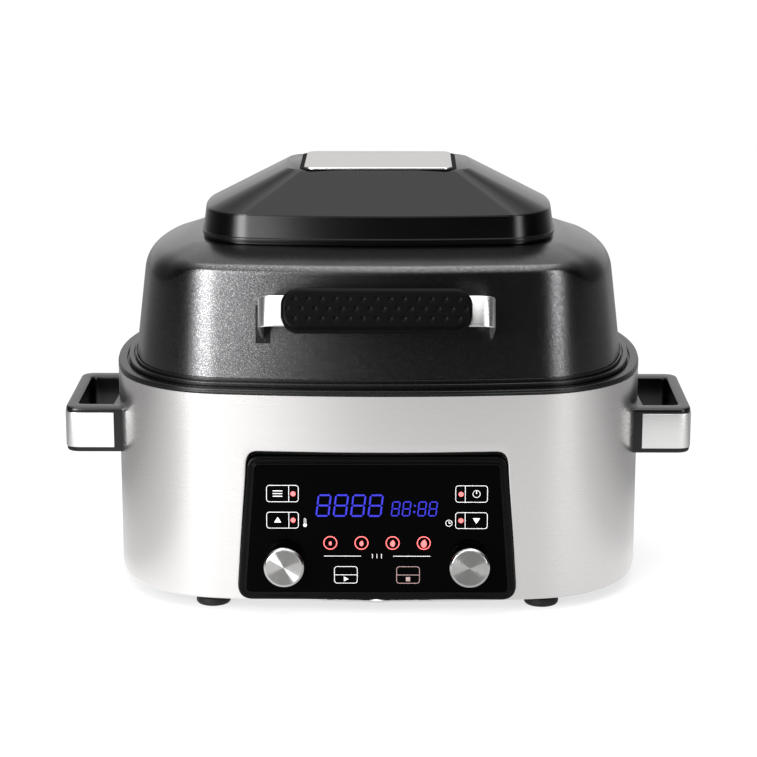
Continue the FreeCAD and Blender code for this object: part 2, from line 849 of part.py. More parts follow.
def round_panel(body, name, feature, depth, margin):
    """Rounds the corners of a panel outline that was drawn in by a margin and is this deep."""
    middle = s.panel_height.value / 2

    def corner(edge, side):
        is_deep = abs(edge.Length - depth.value) < 1e-6
        return upright(edge) and is_deep and side * (edge.CenterOfMass.y - middle) > 0

    low = round_edges(body, f"{name}_low_corners", feature, lambda edge: corner(edge, -1),
                      s.bezel_bottom_radius - margin)
    return round_edges(body, f"{name}_high_corners", low, lambda edge: corner(edge, 1),
                       s.bezel_top_radius - margin)


def make_control_bezel():
    body = panel_body("control_bezel")
    block = pad(body, "block", [panel_outline(0)], -s.bezel_depth, s.bezel_depth)
    round_panel(body, "block", block, s.bezel_depth, 0)
    seat = cut(body, "glass_seat", [panel_outline(s.bezel_rim)], -glass_back, glass_back)
    round_panel(body, "seat", seat, glass_back, s.bezel_rim)
    cut(body, "back_hollow", [panel_outline(s.bezel_skin)], -s.bezel_depth, s.bezel_depth - web_back)
    pad(body, "board_posts", board_holes(s.boss_radius), -s.board_back, s.board_back - web_back)
    cut(body, "post_holes", board_holes(screw_hole), -s.board_back, s.board_back - web_back)
    cut(body, "bush_holes", knob_circles(s.bush_radius + s.fit_gap), -s.bezel_depth, s.bezel_depth)
    cut(body, "display_window", [display_outline(s.fit_gap)], -s.bezel_depth, s.bezel_depth)


def make_control_glass():
    body = panel_body("control_glass")
    low = -s.glass_sink - s.glass_thickness
    margin = s.bezel_rim + s.running_gap * 2
    glass = pad(body, "sheet", [panel_outline(margin)], low, s.glass_thickness)
    round_panel(body, "sheet", glass, s.glass_thickness, margin)
    cut(body, "shaft_holes", knob_circles(s.bush_radius + s.fit_gap), low, s.glass_thickness)


def make_control_board():
    body = panel_body("control_board")
    outline = rectangle(-board_half_width, board_half_width, s.board_low_margin, board_high)
    board = [outline, *board_holes(screw_hole)]
    pad(body, "board", board, -s.board_back - s.board_thickness, s.board_thickness)
    screws = panel_body("board_screws")
    under = s.board_back + s.board_thickness
    pad(screws, "heads", board_holes(s.screw_head_radius), -under - s.screw_head, s.screw_head)
    pad(screws, "shanks", board_holes(s.screw_radius), -under, under - web_back - s.fit_gap)
    display = panel_body("display_module")
    pad(display, "block", [display_outline(0)], -s.board_back, s.board_back - glass_back - s.fit_gap)


def make_knob(name, side):
    x = side * knob_x
    y = s.knob_height

    def disc(radius):
        return Circle(x, y, radius)

    encoder = panel_body(f"{name}_encoder")
    case = rectangle(x - s.encoder_half, x + s.encoder_half, y - s.encoder_half, y + s.encoder_half)
    pad(encoder, "case", [case], -s.board_back, s.encoder_height)
    bush_length = s.board_back - s.glass_sink
    pad(encoder, "bush", [disc(s.bush_radius)], -s.board_back, bush_length)
    bore = disc(s.shaft_radius + s.running_gap)
    cut(encoder, "bore", [bore], s.board_thickness - s.board_back, bush_length)
    shaft = panel_body(f"{name}_knob_shaft")
    start = s.board_thickness + s.fit_gap - s.board_back
    pad(shaft, "shaft", [disc(s.shaft_radius)], start, s.knob_front - s.knob_skin - s.fit_gap - start)
    knob = panel_body(f"{name}_knob")
    skin = pad(knob, "block", [disc(s.knob_radius)], s.knob_lift, s.knob_front - s.knob_lift)
    round_edges(knob, "bevel", skin, lambda edge: edge.CenterOfMass.z > s.knob_front.value - 1e-6,
                s.knob_chamfer, "Chamfer")
    inner = s.knob_radius - s.knob_skin
    cut(knob, "hollow", [disc(inner)], s.knob_lift, s.knob_front - s.knob_lift - s.knob_skin)
    hub = panel_body(f"{name}_knob_hub")
    ring = [disc(inner - s.running_gap), disc(s.shaft_radius + s.running_gap)]
    pad(hub, "hub", ring, s.knob_lift + s.fit_gap, s.knob_front - s.knob_lift - s.knob_skin - s.fit_gap)


def make_side_handle(name, side):
    root = s.body_half_width - s.grab_boss_depth
    seat = s.trim_thickness + s.screw_gap

    def across(inner, outer):
        """The two x sizes of a piece between these reaches, in rising order."""
        return (inner, outer) if side > 0 else (-outer, -inner)

    def block(start, shrink, corner):
        left, right = across(start, grab_reach - shrink)
        half = s.grab_half_depth - shrink
        return rounded_rectangle(left, right, -half, half, corner, side < 0, side > 0)

    body = new_body(f"{name}_handle")
    trim_low = grab_low + s.trim_margin
    trim_high = grab_high - s.trim_margin
    pad(body, "low_lip", [block(root, 0, s.grab_corner)], grab_low, s.trim_margin)
    pad(body, "core", [block(root, seat, s.grab_corner - seat)], trim_low, trim_high - trim_low)
    pad(body, "high_lip", [block(root, 0, s.grab_corner)], trim_high, s.trim_margin)
    left, right = across(root - s.fit_gap, grab_reach - s.grab_bar)
    half = s.grab_half_depth - s.grab_arm
    finger_gap = rounded_rectangle(left, right, -half, half, s.grab_inner_corner, side < 0, side > 0)
    cut(body, "finger_gap", [finger_gap], grab_low, grab_high - grab_low)
    cut(body, "wall_seat", [plan.inset(-s.fit_gap)], grab_low, grab_high - grab_low)
    boss_length = s.grab_boss_depth + s.grab_bar
    start = across(root, root + boss_length)[0]
    places = [(end * grab_screw_y, grab_middle) for end in (-1, 1)]
    bosses = [Circle(*place, s.grab_boss_radius) for place in places]
    pad(body, "bosses", bosses, start, boss_length, "YZ_Plane")
    holes = [Circle(*place, screw_hole) for place in places]
    cut(body, "screw_holes", holes, start, boss_length, "YZ_Plane")

    trim = new_body(f"{name}_handle_trim")
    trim_start = grab_reach - s.trim_length
    outer = block(trim_start, 0, s.grab_corner)
    inner = block(trim_start - s.fit_gap, s.trim_thickness, s.grab_corner - s.trim_thickness)
    pad(trim, "band", [outer], trim_low + s.screw_gap, trim_high - trim_low - s.screw_gap * 2)
    cut(trim, "inside", [inner], trim_low, trim_high - trim_low)


def make_side_handle_screws():
    body = new_body("side_handle_screws")
    root = s.body_half_width - s.grab_boss_depth
    places = [(end * grab_screw_y, grab_middle) for end in (-1, 1)]
    for name, side in (("left", -1), ("right", 1)):
        heads = [Circle(*place, s.screw_head_radius) for place in places]
        shanks = [Circle(*place, s.screw_radius) for place in places]
        head_at = root - s.screw_head if side > 0 else -root
        shank_at = root if side > 0 else -root - s.grab_boss_depth - s.grab_bar / 2
        pad(body, f"{name}_heads", heads, head_at, s.screw_head, "YZ_Plane")
        pad(body, f"{name}_shanks", shanks, shank_at, s.grab_boss_depth + s.grab_bar / 2, "YZ_Plane")


def make_power_board():
    body = new_body("power_board")
    low = tray_top + s.boss_height
    top = low + s.board_thickness
    board = rectangle(-s.power_left, s.power_right, s.power_near, s.power_far)
    pad(body, "board", [board], low, s.board_thickness)
    middle = (s.power_near + s.power_far) / 2
    coil_left = s.boss_radius * 3 - s.power_left
    coil = rectangle(coil_left, coil_left + s.coil_half * 2, middle - s.coil_half, middle + s.coil_half)
    pad(body, "coil", [coil], low, s.board_thickness + s.coil_height)
    relay_right = s.power_right - s.boss_radius * 3
    for name, end in (("near", -1), ("far", 1)):
        y = middle + end * s.relay_width * 3 / 4
        half = s.relay_width / 2
        relay = rectangle(relay_right - s.relay_width * 2, relay_right, y - half, y + half)
        pad(body, f"{name}_relay", [relay], low, top - low + s.relay_height)


def make_cord_gland():
    body = new_body("cord_gland")
    wall_back = s.body_half_depth + s.running_gap
    neck = Circle(0, gland_height, s.gland_radius)
    flange = Circle(0, gland_height, s.gland_flange_radius)
    bore = Circle(0, gland_height, s.gland_bore_radius)
    pad(body, "flange", [flange], -wall_back - s.gland_flange, s.gland_flange, "XZ_Plane")
    pad(body, "neck", [neck], -wall_back - s.gland_flange, s.gland_flange + s.gland_depth, "XZ_Plane")
    cut(body, "bore", [bore], -wall_back - s.gland_flange, s.gland_flange + s.gland_depth, "XZ_Plane")


def make_lid_flange():
    body = new_body("lid_flange")
    inner = plan.inset(s.flange_inner_inset)
    pad(body, "lip", [plan.inset(s.flange_inset), inner], flange_foot, s.flange_lip)
    pad(body, "step", [plan.inset(s.flange_step_inset), inner], flange_foot, dome_foot - flange_foot)
    # two hinge knuckles on webs that leave the flange behind the dome's wall
    root = s.body_half_depth - s.dome_inset + s.fit_gap
    low = hinge_height - s.knuckle_radius
    web = Path(
        (root, low),
        (hinge_back, low),
        (hinge_back, hinge_height + s.knuckle_radius),
        (root, dome_foot + s.flange_step),
    )
    for name, side in (("left", -1), ("right", 1)):
        at = side * s.hinge_spread - s.knuckle_half
        pad(body, f"{name}_web", [web], at, s.knuckle_half * 2, "YZ_Plane")
        pad(body, f"{name}_disc", [hinge_disc(s.knuckle_radius)], at, s.knuckle_half * 2, "YZ_Plane")
    bore = [hinge_disc(s.pin_radius + s.running_gap)]
    cut(body, "pin_bore", bore, 0, (s.hinge_spread + s.knuckle_half * 2) * 2, "YZ_Plane", True)


def make_lid_seal():
    body = new_body("lid_seal")
    inset = s.flange_inner_inset + s.fit_gap
    ring = [plan.inset(inset), plan.inset(inset + s.seal_width)]
    low = pot_ledge + s.pot_wall + s.lid_gap
    pad(body, "ring", ring, low, dome_foot - low)


def make_lid_liner():
    body = new_body("lid_liner")
    outer = plan.inset(s.lid_liner_inset - s.sheet_thickness)
    inner = plan.inset(s.lid_liner_inset)
    pad(body, "flange", [plan.inset(s.lid_liner_flange_inset), inner], dome_foot, s.sheet_thickness)
    pad(body, "wall", [outer, inner], dome_foot, s.lid_liner_height)
    pad(body, "roof", [outer], lid_liner_roof, s.sheet_thickness)
    holes = [spindle(s.spindle_hole_radius)]
    for end in (-1, 1):
        holes.append(Circle(*heater_end(end), s.heater_tube_radius + s.fit_gap))
    cut(body, "holes", holes, lid_liner_roof, s.sheet_thickness)


def heater_end(end):
    """Where the heater's two ends rise, either side of the gap in its ring."""
    return -heater_radius * cosine(s.heater_gap_angle), end * heater_radius * sine(s.heater_gap_angle)


corner_inset = dome_inset_at(shoulder_height)
crown_rise = (s.crown_inset - corner_inset) * tangent(s.crown_slope)
crown_top = shoulder_height + crown_rise
crown_sheet = s.dome_thickness / cosine(s.crown_slope)


def dome_profile():
    """The wall, shoulder and crown as a skin of one thickness, at the front of the plan."""
    half_turn = (90 - s.dome_draft - s.crown_slope) / 2
    run = s.shoulder_radius * tangent(half_turn)

    def place(inset, height):
        return (inset - s.body_half_depth, height)

    wall_x, wall_y = sine(s.dome_draft), cosine(s.dome_draft)
    crown_x, crown_y = cosine(s.crown_slope), sine(s.crown_slope)
    bend_low = (corner_inset - run * wall_x, shoulder_height - run * wall_y)
    bend_high = (corner_inset + run * crown_x, shoulder_height + run * crown_y)
    centre = (bend_low[0] + s.shoulder_radius * wall_y, bend_low[1] - s.shoulder_radius * wall_x)
    skin = s.dome_thickness
    inner_low = (bend_low[0] + skin * wall_y, bend_low[1] - skin * wall_x)
    inner_high = (bend_high[0] + skin * crown_y, bend_high[1] - skin * crown_x)
    path = Path(place(s.dome_inset, dome_foot), place(*bend_low))
    path.arc(place(*bend_high), place(*centre), s.shoulder_radius, -1)
    path.line(place(s.crown_inset, crown_top), place(s.crown_inset, crown_top - crown_sheet))
    path.line(place(*inner_high))
    path.arc(place(*inner_low), place(*centre), s.shoulder_radius - skin, 1)
    path.line(place(s.dome_inset + skin / wall_y, dome_foot))
    return path


def strap_slots(margin):
    """The strap's two legs in cross-section, with a margin all round."""
    half = s.strap_tall / 2 + margin
    inner = s.strap_half - s.strap_thickness - margin
    outer = s.strap_half + margin
    return [rectangle(inner, outer, -half, half), rectangle(-outer, -inner, -half, half)]


def cut_strap_slots(body, length):
    """Cuts the legs' way through a piece of the lid, along the strap's slope."""
    feature = cut(body, "strap_slots", strap_slots(s.fit_gap), 0, length, "XZ_Plane", True)
    sketch = feature.Profile[0]
    turn = FreeCAD.Rotation(FreeCAD.Vector(1, 0, 0), -s.strap_tilt.value)
    sketch.AttachmentOffset = FreeCAD.Placement(FreeCAD.Vector(), turn)
    bind(sketch, "AttachmentOffset.Rotation.Angle", -s.strap_tilt)
    bind(sketch, "AttachmentOffset.Base.y", strap_foot_height)
    bind(sketch, "AttachmentOffset.Base.z", strap_foot)


def make_lid_shell():
    body = new_body("lid_shell")
    spine = sketch_on(body, "spine", [plan], 0, "XY_Plane")
    sweep = body.newObject("PartDesign::AdditivePipe", "lid_shell_skin")
    sweep.Profile = sketch_on(body, "profile", [dome_profile()], 0, "YZ_Plane")
    sweep.Spine = (spine, [])
    sweep.Mode = "Standard"
    pad(body, "roof", [plan.inset(s.crown_inset)], crown_top - crown_sheet, crown_sheet)
    cut(body, "roof_hole", [cap_plan.inset(s.neck_inset + s.neck_wall)], crown_top - crown_sheet, crown_sheet)
    cut_strap_slots(body, s.strap_tail * 2)


cap_foot = crown_top + s.neck_height
cap_shoulder = cap_foot + s.cap_band
cap_top = cap_shoulder + s.cap_hip
cap_plan = Plan(
    s.cap_half_width, s.cap_half_depth, s.cap_front_radius, s.cap_side_radius, s.cap_corner_radius,
)
crest_plan = Plan(s.crest_half_width, s.crest_half_depth, s.crest_front_radius, s.crest_side_radius,
                  s.crest_corner_radius)


def make_cap_neck():
    body = new_body("cap_neck")
    inner = cap_plan.inset(s.neck_inset + s.neck_wall)
    pad(body, "collar", [cap_plan.inset(s.neck_inset), inner], crown_top, s.neck_height)
    pad(body, "flange", [cap_plan.inset(-s.neck_overhang), inner], cap_foot - s.neck_flange, s.neck_flange)


def make_top_cap():
    body = new_body("top_cap")
    flare = cap_plan.inset(-s.cap_flare)
    loft(body, "band", "Additive", [(flare, cap_foot), (cap_plan, cap_shoulder)])
    loft(body, "hip", "Additive", [(cap_plan, cap_shoulder), (crest_plan, cap_top)])
    inner_flare = flare.inset(s.cap_wall)
    inner_cap = cap_plan.inset(s.cap_wall)
    loft(body, "band_hollow", "Subtractive", [(inner_flare, cap_foot), (inner_cap, cap_shoulder)])
    inner_crest = crest_plan.inset(s.cap_wall)
    loft(body, "hip_hollow", "Subtractive", [(inner_cap, cap_shoulder), (inner_crest, cap_top - s.cap_wall)])
    count = 13
    first = -s.vent_pitch * (count - 1) / 2
    slot = rectangle(first - s.vent_slot / 2, first + s.vent_slot / 2, cap_foot + s.vent_margin,
                     cap_shoulder - s.vent_margin)
    rear = s.cap_half_depth + s.cap_flare
    first_vent = cut(body, "vent", [slot], -rear - s.cap_flare, s.cap_flare * 3 + s.cap_wall * 2, "XZ_Plane")
    line_up(body, "vents", first_vent, s.vent_pitch, count)


def make_top_plate():
    body = new_body("top_plate")
    reach = s.crest_half_depth - s.plate_margin
    outline = rounded_rectangle(-s.plate_half_width, s.plate_half_width, -reach, reach, s.plate_corner)
    pad(body, "plate", [outline], cap_top, s.plate_thickness)


def make_handle_strap():
    body = strap_body("handle_strap")
    top = s.strap_reach + s.strap_thickness / 2
    outer = s.strap_half
    inner = outer - s.strap_thickness
    low = -s.strap_tail
    bend = s.strap_bend
    inner_bend = bend - s.strap_thickness
    inner_top = top - s.strap_thickness
    corner = (outer - bend, top - bend)
    mirror = (bend - outer, top - bend)
    path = Path((outer, low), (outer, corner[1]))
    path.arc((corner[0], top), corner, bend, 1)
    path.line((mirror[0], top))
    path.arc((-outer, mirror[1]), mirror, bend, 1)
    path.line((-outer, low), (-inner, low), (-inner, mirror[1]))
    path.arc((mirror[0], inner_top), mirror, inner_bend, -1)
    path.line((corner[0], inner_top))
    path.arc((inner, corner[1]), corner, inner_bend, -1)
    path.line((inner, low))
    pad(body, "band", [path], 0, s.strap_tall, "XZ_Plane", True)
    hole = [Circle(0, -s.strap_screw_back, screw_hole)]
    cut(body, "screw_holes", hole, 0, s.strap_half * 2 + s.strap_tail, "YZ_Plane", True)


def make_handle_grip():
    body = strap_body("handle_grip")
    half_tall = s.grip_tall / 2
    low = s.strap_reach - s.grip_thickness / 2
    grip_half = s.strap_half - s.grip_end_gap
    outline = rounded_rectangle(-grip_half, grip_half, -half_tall, half_tall, s.grip_end_radius)
    block = pad(body, "block", [outline], low, s.grip_thickness)

    def on_a_face(edge):
        return edge.BoundBox.ZLength < 1e-6

    round_edges(body, "edges", block, on_a_face, s.grip_edge)
    half = s.strap_tall / 2 + s.screw_gap
    skin = s.strap_thickness / 2 + s.screw_gap
    slot = rectangle(-half, half, s.strap_reach - skin, s.strap_reach + skin)
    cut(body, "strap_slot", [slot], 0, grip_half * 2 + s.grip_edge, "YZ_Plane", True)


def make_strap_collars():
    lean = tangent(s.dome_draft)
    middle = strap_foot_height
    inset = dome_inset_at(middle)
    x = s.strap_half - s.strap_thickness / 2
    near = x - s.collar_half
    seat = inset + bow(near, s.body_front_radius - inset) - s.fit_gap - s.body_half_depth
    half = s.collar_tall / 2
    face = seat - s.collar_thickness
    outline = Path(
        (seat - half * lean, middle - half),
        (seat + half * lean, middle + half),
        (face + half * lean, middle + half),
        (face - half * lean, middle - half),
    )
    for name, side in (("left", -1), ("right", 1)):
        body = new_body(f"{name}_strap_collar")
        at = near if side > 0 else -x - s.collar_half
        pad(body, "block", [outline], at, s.collar_half * 2, "YZ_Plane")
        cut_strap_slots(body, s.strap_tail * 3)


screw_y = s.strap_screw_back * cosine(s.strap_tilt) - strap_foot
screw_z = strap_foot_height - s.strap_screw_back * sine(s.strap_tilt)


def make_strap_brackets():
    foot = dome_foot + s.sheet_thickness
    near = screw_y - s.bracket_length / 2
    far = screw_y + s.bracket_length / 2
    upright_face = s.strap_half - s.strap_thickness - s.fit_gap
    for name, side in (("left", -1), ("right", 1)):
        body = new_body(f"{name}_strap_bracket")
        plate = rectangle(near, far, foot, screw_z + s.bracket_length / 2)
        at = upright_face - s.bracket_thickness if side > 0 else -upright_face
        pad(body, "plate", [plate], at, s.bracket_thickness, "YZ_Plane")
        base = rectangle(near, far, foot, foot + s.bracket_thickness)
        base_at = upright_face - s.bracket_foot if side > 0 else -upright_face
        pad(body, "foot", [base], base_at, s.bracket_foot, "YZ_Plane")
        cut(body, "screw_hole", [Circle(screw_y, screw_z, screw_hole)], at, s.bracket_thickness, "YZ_Plane")
    screws = new_body("strap_screws")
    shank = s.strap_thickness + s.fit_gap + s.bracket_thickness * 2
    for name, side in (("left", -1), ("right", 1)):
        head_at = s.strap_half if side > 0 else -s.strap_half - s.screw_head
        shank_at = s.strap_half - shank if side > 0 else -s.strap_half
        head = Circle(screw_y, screw_z, s.screw_head_radius)
        pad(screws, f"{name}_head", [head], head_at, s.screw_head, "YZ_Plane")
        round_shank = Circle(screw_y, screw_z, s.screw_radius)
        pad(screws, f"{name}_shank", [round_shank], shank_at, shank, "YZ_Plane")


motor_foot = lid_liner_top + s.motor_lift
motor_top = motor_foot + s.motor_height
fan_top = lid_liner_roof - s.fan_drop
fan_foot = fan_top - s.fan_height
nut_foot = fan_foot - s.nut_height
guard_foot = nut_foot - s.guard_gap - s.guard_sheet
guard_radius = s.body_half_depth - s.lid_liner_inset - s.guard_wall_gap
heater_radius = guard_radius - s.guard_margin
fan_radius = heater_radius - s.fan_heater_gap
cooler_foot = motor_top + s.cooler_lift


def spindle(radius):
    return Circle(0, 0, radius)


def make_motor():
    bracket = new_body("motor_bracket")
    gauge = s.bracket_thickness
    half = heater_radius - s.bracket_heater_gap
    foot = half + s.bracket_foot
    low = lid_liner_top
    high = motor_foot
    omega = Path(
        (-foot, low), (-half, low), (-half, high - gauge), (half, high - gauge), (half, low), (foot, low),
        (foot, low + gauge), (half + gauge, low + gauge), (half + gauge, high), (-half - gauge, high),
        (-half - gauge, low + gauge), (-foot, low + gauge),
    )
    pad(bracket, "omega", [omega], 0, s.bracket_half_depth * 2, "XZ_Plane", True)
    cut(bracket, "spindle_hole", [spindle(s.spindle_hole_radius)], high - gauge, gauge)
    motor = new_body("fan_motor")
    case = [spindle(s.motor_radius), spindle(s.spindle_radius + s.running_gap)]
    pad(motor, "case", case, motor_foot, s.motor_height)
    shaft = new_body("motor_shaft")
    pad(shaft, "shaft", [spindle(s.spindle_radius)], nut_foot, cooler_foot + s.cooler_height - nut_foot)


def make_fan(label, foot, height, radius, disc_at, count):
    """A bladed wheel: hub, disc and upright blades, bored for the spindle."""
    body = new_body(label)
    bore = s.spindle_radius + s.running_gap
    pad(body, "hub", [spindle(s.fan_hub_radius)], foot, height)
    pad(body, "disc", [spindle(radius)], disc_at, s.fan_disc)
    blade = rectangle(s.fan_hub_radius - s.fan_disc, radius, -s.fan_disc / 2, s.fan_disc / 2)
    first = pad(body, "blade", [blade], foot, height)
    fan_out(body, "blades", first, count)
    cut(body, "bore", [spindle(bore)], foot, height)


def make_fans():
    make_fan("circulation_fan", fan_foot, s.fan_height, fan_radius, fan_top - s.fan_disc, 8)
    make_fan("cooling_fan", cooler_foot, s.cooler_height, s.cooler_radius, cooler_foot, 9)
    nut = new_body("fan_nut")
    ring = [spindle(s.nut_radius), spindle(s.spindle_radius + s.running_gap)]
    pad(nut, "nut", ring, nut_foot, s.nut_height)


def make_heater():
    body = new_body("heating_element")
    height = lid_liner_roof - s.heater_drop
    ring = body.newObject("PartDesign::Revolution", "heating_element_ring")
    tube = Circle(heater_radius, height, s.heater_tube_radius)
    ring.Profile = sketch_on(body, "ring", [tube], 0, "XZ_Plane")
    ring.ReferenceAxis = (origin_feature(body, "Z_Axis"), [""])
    bind(ring, "Angle", 360 - s.heater_gap_angle * 2)
    ring.Midplane = True
    legs = [Circle(*heater_end(end), s.heater_tube_radius) for end in (-1, 1)]
    pad(body, "legs", legs, height, s.heater_drop + s.sheet_thickness + s.heater_leg)
    clips = new_body("element_clips")
    low = height - s.heater_tube_radius - s.clip_half / 2
    left = heater_radius - s.clip_half
    hook = rectangle(left, left + s.clip_half * 2, low, lid_liner_roof)
    hole = Circle(heater_radius, height, s.heater_tube_radius + s.fit_gap)
    first = pad(clips, "clip", [hook, hole], 0, s.clip_width, "XZ_Plane", True)
    fan_out(clips, "clips", first, 3)


def make_fan_guard():
    body = new_body("fan_guard")
    inner = guard_radius - s.guard_sheet
    pad(body, "disc", [spindle(guard_radius)], guard_foot, s.guard_sheet)
    pad(body, "wall", [spindle(guard_radius), spindle(inner)], guard_foot, lid_liner_roof - guard_foot)
    half = s.guard_slot_width / 2
    slot = rounded_rectangle(s.guard_slot_inner, inner - half, -half, half, half - s.fit_gap)
    first = cut(body, "slot", [slot], guard_foot, s.guard_sheet)
    fan_out(body, "slots", first, 18)
    margin = s.guard_slot_width
    wide = s.guard_window_half
    window = rectangle(-wide, wide, guard_foot + margin, lid_liner_roof - margin)
    first_window = cut(body, "window", [window], inner - margin, margin * 2, "XZ_Plane")
    fan_out(body, "windows", first_window, 12)


def make_thermostat():
    body = new_body("thermostat")
    disc = Circle(s.thermostat_side, 0, s.thermostat_radius)
    pad(body, "disc", [disc], lid_liner_top, s.thermostat_height)


make_base_tray()
make_feet()
make_steel_wall()
make_top_rim()
make_hinge_pins()
make_inner_liner()
make_inner_pot()
make_grill_plate()
make_control_bezel()
make_control_glass()
make_control_board()
for side_name, side_sign in (("left", -1), ("right", 1)):
    make_knob(side_name, side_sign)
    make_side_handle(side_name, side_sign)
make_side_handle_screws()
make_power_board()
make_cord_gland()
make_lid_flange()
make_lid_seal()
make_lid_liner()
make_lid_shell()
make_cap_neck()
make_top_cap()
make_top_plate()
make_handle_strap()
make_handle_grip()
make_strap_collars()
make_strap_brackets()
make_motor()
make_fans()
make_heater()
make_fan_guard()
make_thermostat()

doc.recompute()
failed = [item.Name for item in doc.Objects if "Invalid" in item.State or "Error" in item.State]
if failed:
    raise RuntimeError(f"features that did not build: {failed}")
for body in sub_parts:
    if body.Shape.isNull() or not body.Shape.isValid():
        raise RuntimeError(f"{body.Label} has no valid shape")
for body in sub_parts:
    body.Shape.exportStep(f"parts/{body.Label}.step")
    print(body.Label, len(body.Shape.Solids), round(body.Shape.Volume))
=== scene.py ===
import json
import math

import bmesh
import bpy
import numpy as np
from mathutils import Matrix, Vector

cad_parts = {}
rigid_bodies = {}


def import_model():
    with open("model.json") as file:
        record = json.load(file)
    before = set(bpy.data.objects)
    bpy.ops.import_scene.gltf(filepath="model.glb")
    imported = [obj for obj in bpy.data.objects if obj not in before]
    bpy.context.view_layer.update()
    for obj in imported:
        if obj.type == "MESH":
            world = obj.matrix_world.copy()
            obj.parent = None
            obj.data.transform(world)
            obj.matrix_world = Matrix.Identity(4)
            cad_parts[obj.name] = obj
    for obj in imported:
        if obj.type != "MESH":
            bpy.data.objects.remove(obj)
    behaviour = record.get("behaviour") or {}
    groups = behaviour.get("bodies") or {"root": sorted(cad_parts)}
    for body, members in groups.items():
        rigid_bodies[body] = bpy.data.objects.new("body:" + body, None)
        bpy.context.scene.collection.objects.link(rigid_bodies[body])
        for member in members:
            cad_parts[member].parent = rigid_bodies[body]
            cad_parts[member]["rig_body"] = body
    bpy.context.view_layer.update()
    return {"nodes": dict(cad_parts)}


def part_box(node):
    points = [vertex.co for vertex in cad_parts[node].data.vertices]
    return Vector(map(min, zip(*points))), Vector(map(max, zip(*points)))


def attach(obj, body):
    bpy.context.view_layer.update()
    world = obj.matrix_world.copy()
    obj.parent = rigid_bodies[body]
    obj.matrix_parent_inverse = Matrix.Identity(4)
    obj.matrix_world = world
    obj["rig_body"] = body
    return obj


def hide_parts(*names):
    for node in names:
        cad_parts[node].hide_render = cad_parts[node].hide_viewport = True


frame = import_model()
mm = 0.001
wallLow, wallHigh = (np.array(corner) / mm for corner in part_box("steel_wall"))
middle = (wallLow[1] + wallHigh[1]) / 2  # the plan's centre along Y
print("frame:", len(frame["nodes"]), "nodes, plan centre at", round(middle, 2))


class Solid:
    # a node's box in mm, to a hundredth, with Y from the plan's centre
    def __init__(self, node):
        low, high = (np.array(corner) / mm - [0, middle, 0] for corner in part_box(node))
        self.left, self.foot = low.round(2)[::2]
        self.right, self.top = high.round(2)[::2]
        self.across, self.along, self.up = ((low + high) / 2).round(2)
        self.halfWide, self.halfDeep = ((high - low) / 2).round(2)[:2]


class Wire:
    # one output socket; arithmetic on it adds Math nodes
    def __init__(self, board, socket):
        self.board, self.socket = board, socket

    def maths(self, operation, *values):
        return self.board.node("ShaderNodeMath", {"operation": operation}, dict(enumerate(values)))

    def __add__(self, other):
        return self.maths("ADD", self, other)

    def __sub__(self, other):
        return self.maths("SUBTRACT", self, other)

    def __rsub__(self, other):
        return self.maths("SUBTRACT", other, self)

    def __mul__(self, other):
        return self.maths("MULTIPLY", self, other)

    def __truediv__(self, other):
        return self.maths("DIVIDE", self, other)

    def __abs__(self):
        return self.maths("ABSOLUTE", self)

    def atLeast(self, low):
        return self.maths("MAXIMUM", self, low)


class Board:
    # a node tree with one way of adding nodes: type, settings, then the values or links of its sockets
    def __init__(self, tree):
        self.tree = tree

    def feed(self, socket, value):
        if isinstance(value, Wire):
            self.tree.links.new(value.socket, socket)
        else:
            socket.default_value = value

    def node(self, kind, settings=None, inputs=None, output=0):
        made = self.tree.nodes.new(kind)
        for key, value in (settings or {}).items():
            setattr(made, key, value)
        for key, value in (inputs or {}).items():
            self.feed(made.inputs[key], value)
        return Wire(self, made.outputs[output])

    def objectPlace(self, stretch=(1, 1, 1)):
        place = self.node("ShaderNodeTexCoord", output=3)
        return self.node("ShaderNodeMapping", None, {"Vector": place, "Scale": stretch})

    def noise(self, scale, stretch=(1, 1, 1), detail=3.0):
        inputs = {"Vector": self.objectPlace(stretch), "Scale": scale, "Detail": detail}
        return self.node("ShaderNodeTexNoise", None, inputs)

    def ramp(self, value, low, high, toLow=0.0, toHigh=1.0):
        inputs = {"Value": value, "From Min": low, "From Max": high, "To Min": toLow, "To Max": toHigh}
        return self.node("ShaderNodeMapRange", None, inputs)

    def colours(self, factor, first, second):
        return self.node("ShaderNodeMix", {"data_type": "RGBA"}, {0: factor, 6: first, 7: second}, 2)

    def bump(self, height, strength, depth):
        return self.node("ShaderNodeBump", None, {"Strength": strength, "Distance": depth, "Height": height})


def rgb(red, green, blue):
    return (red, green, blue, 1.0)


def paintSkin(board, **values):
    # sets or links the skin's sockets, named with an underscore for each space
    for key, value in values.items():
        board.feed(board.skin.inputs[key.replace("_", " ")], value)
    return board.material


def newFinish(name, **values):
    material = bpy.data.materials.new(name)
    material.use_nodes = True
    board = Board(material.node_tree)
    board.material = material
    board.skin = material.node_tree.nodes["Principled BSDF"]
    paintSkin(board, **values)
    return board


def mixed(first, second, share):
    # weighted mean: this share of the first, the rest of the second
    return first * share + second * (1 - share)


noiseSpan = (0.3, 0.7)  # most of a noise texture lies between these
metal = {"cloud": 9.0, "detail": 4.0, "toneLines": 0.7, "roughLines": 0.6}


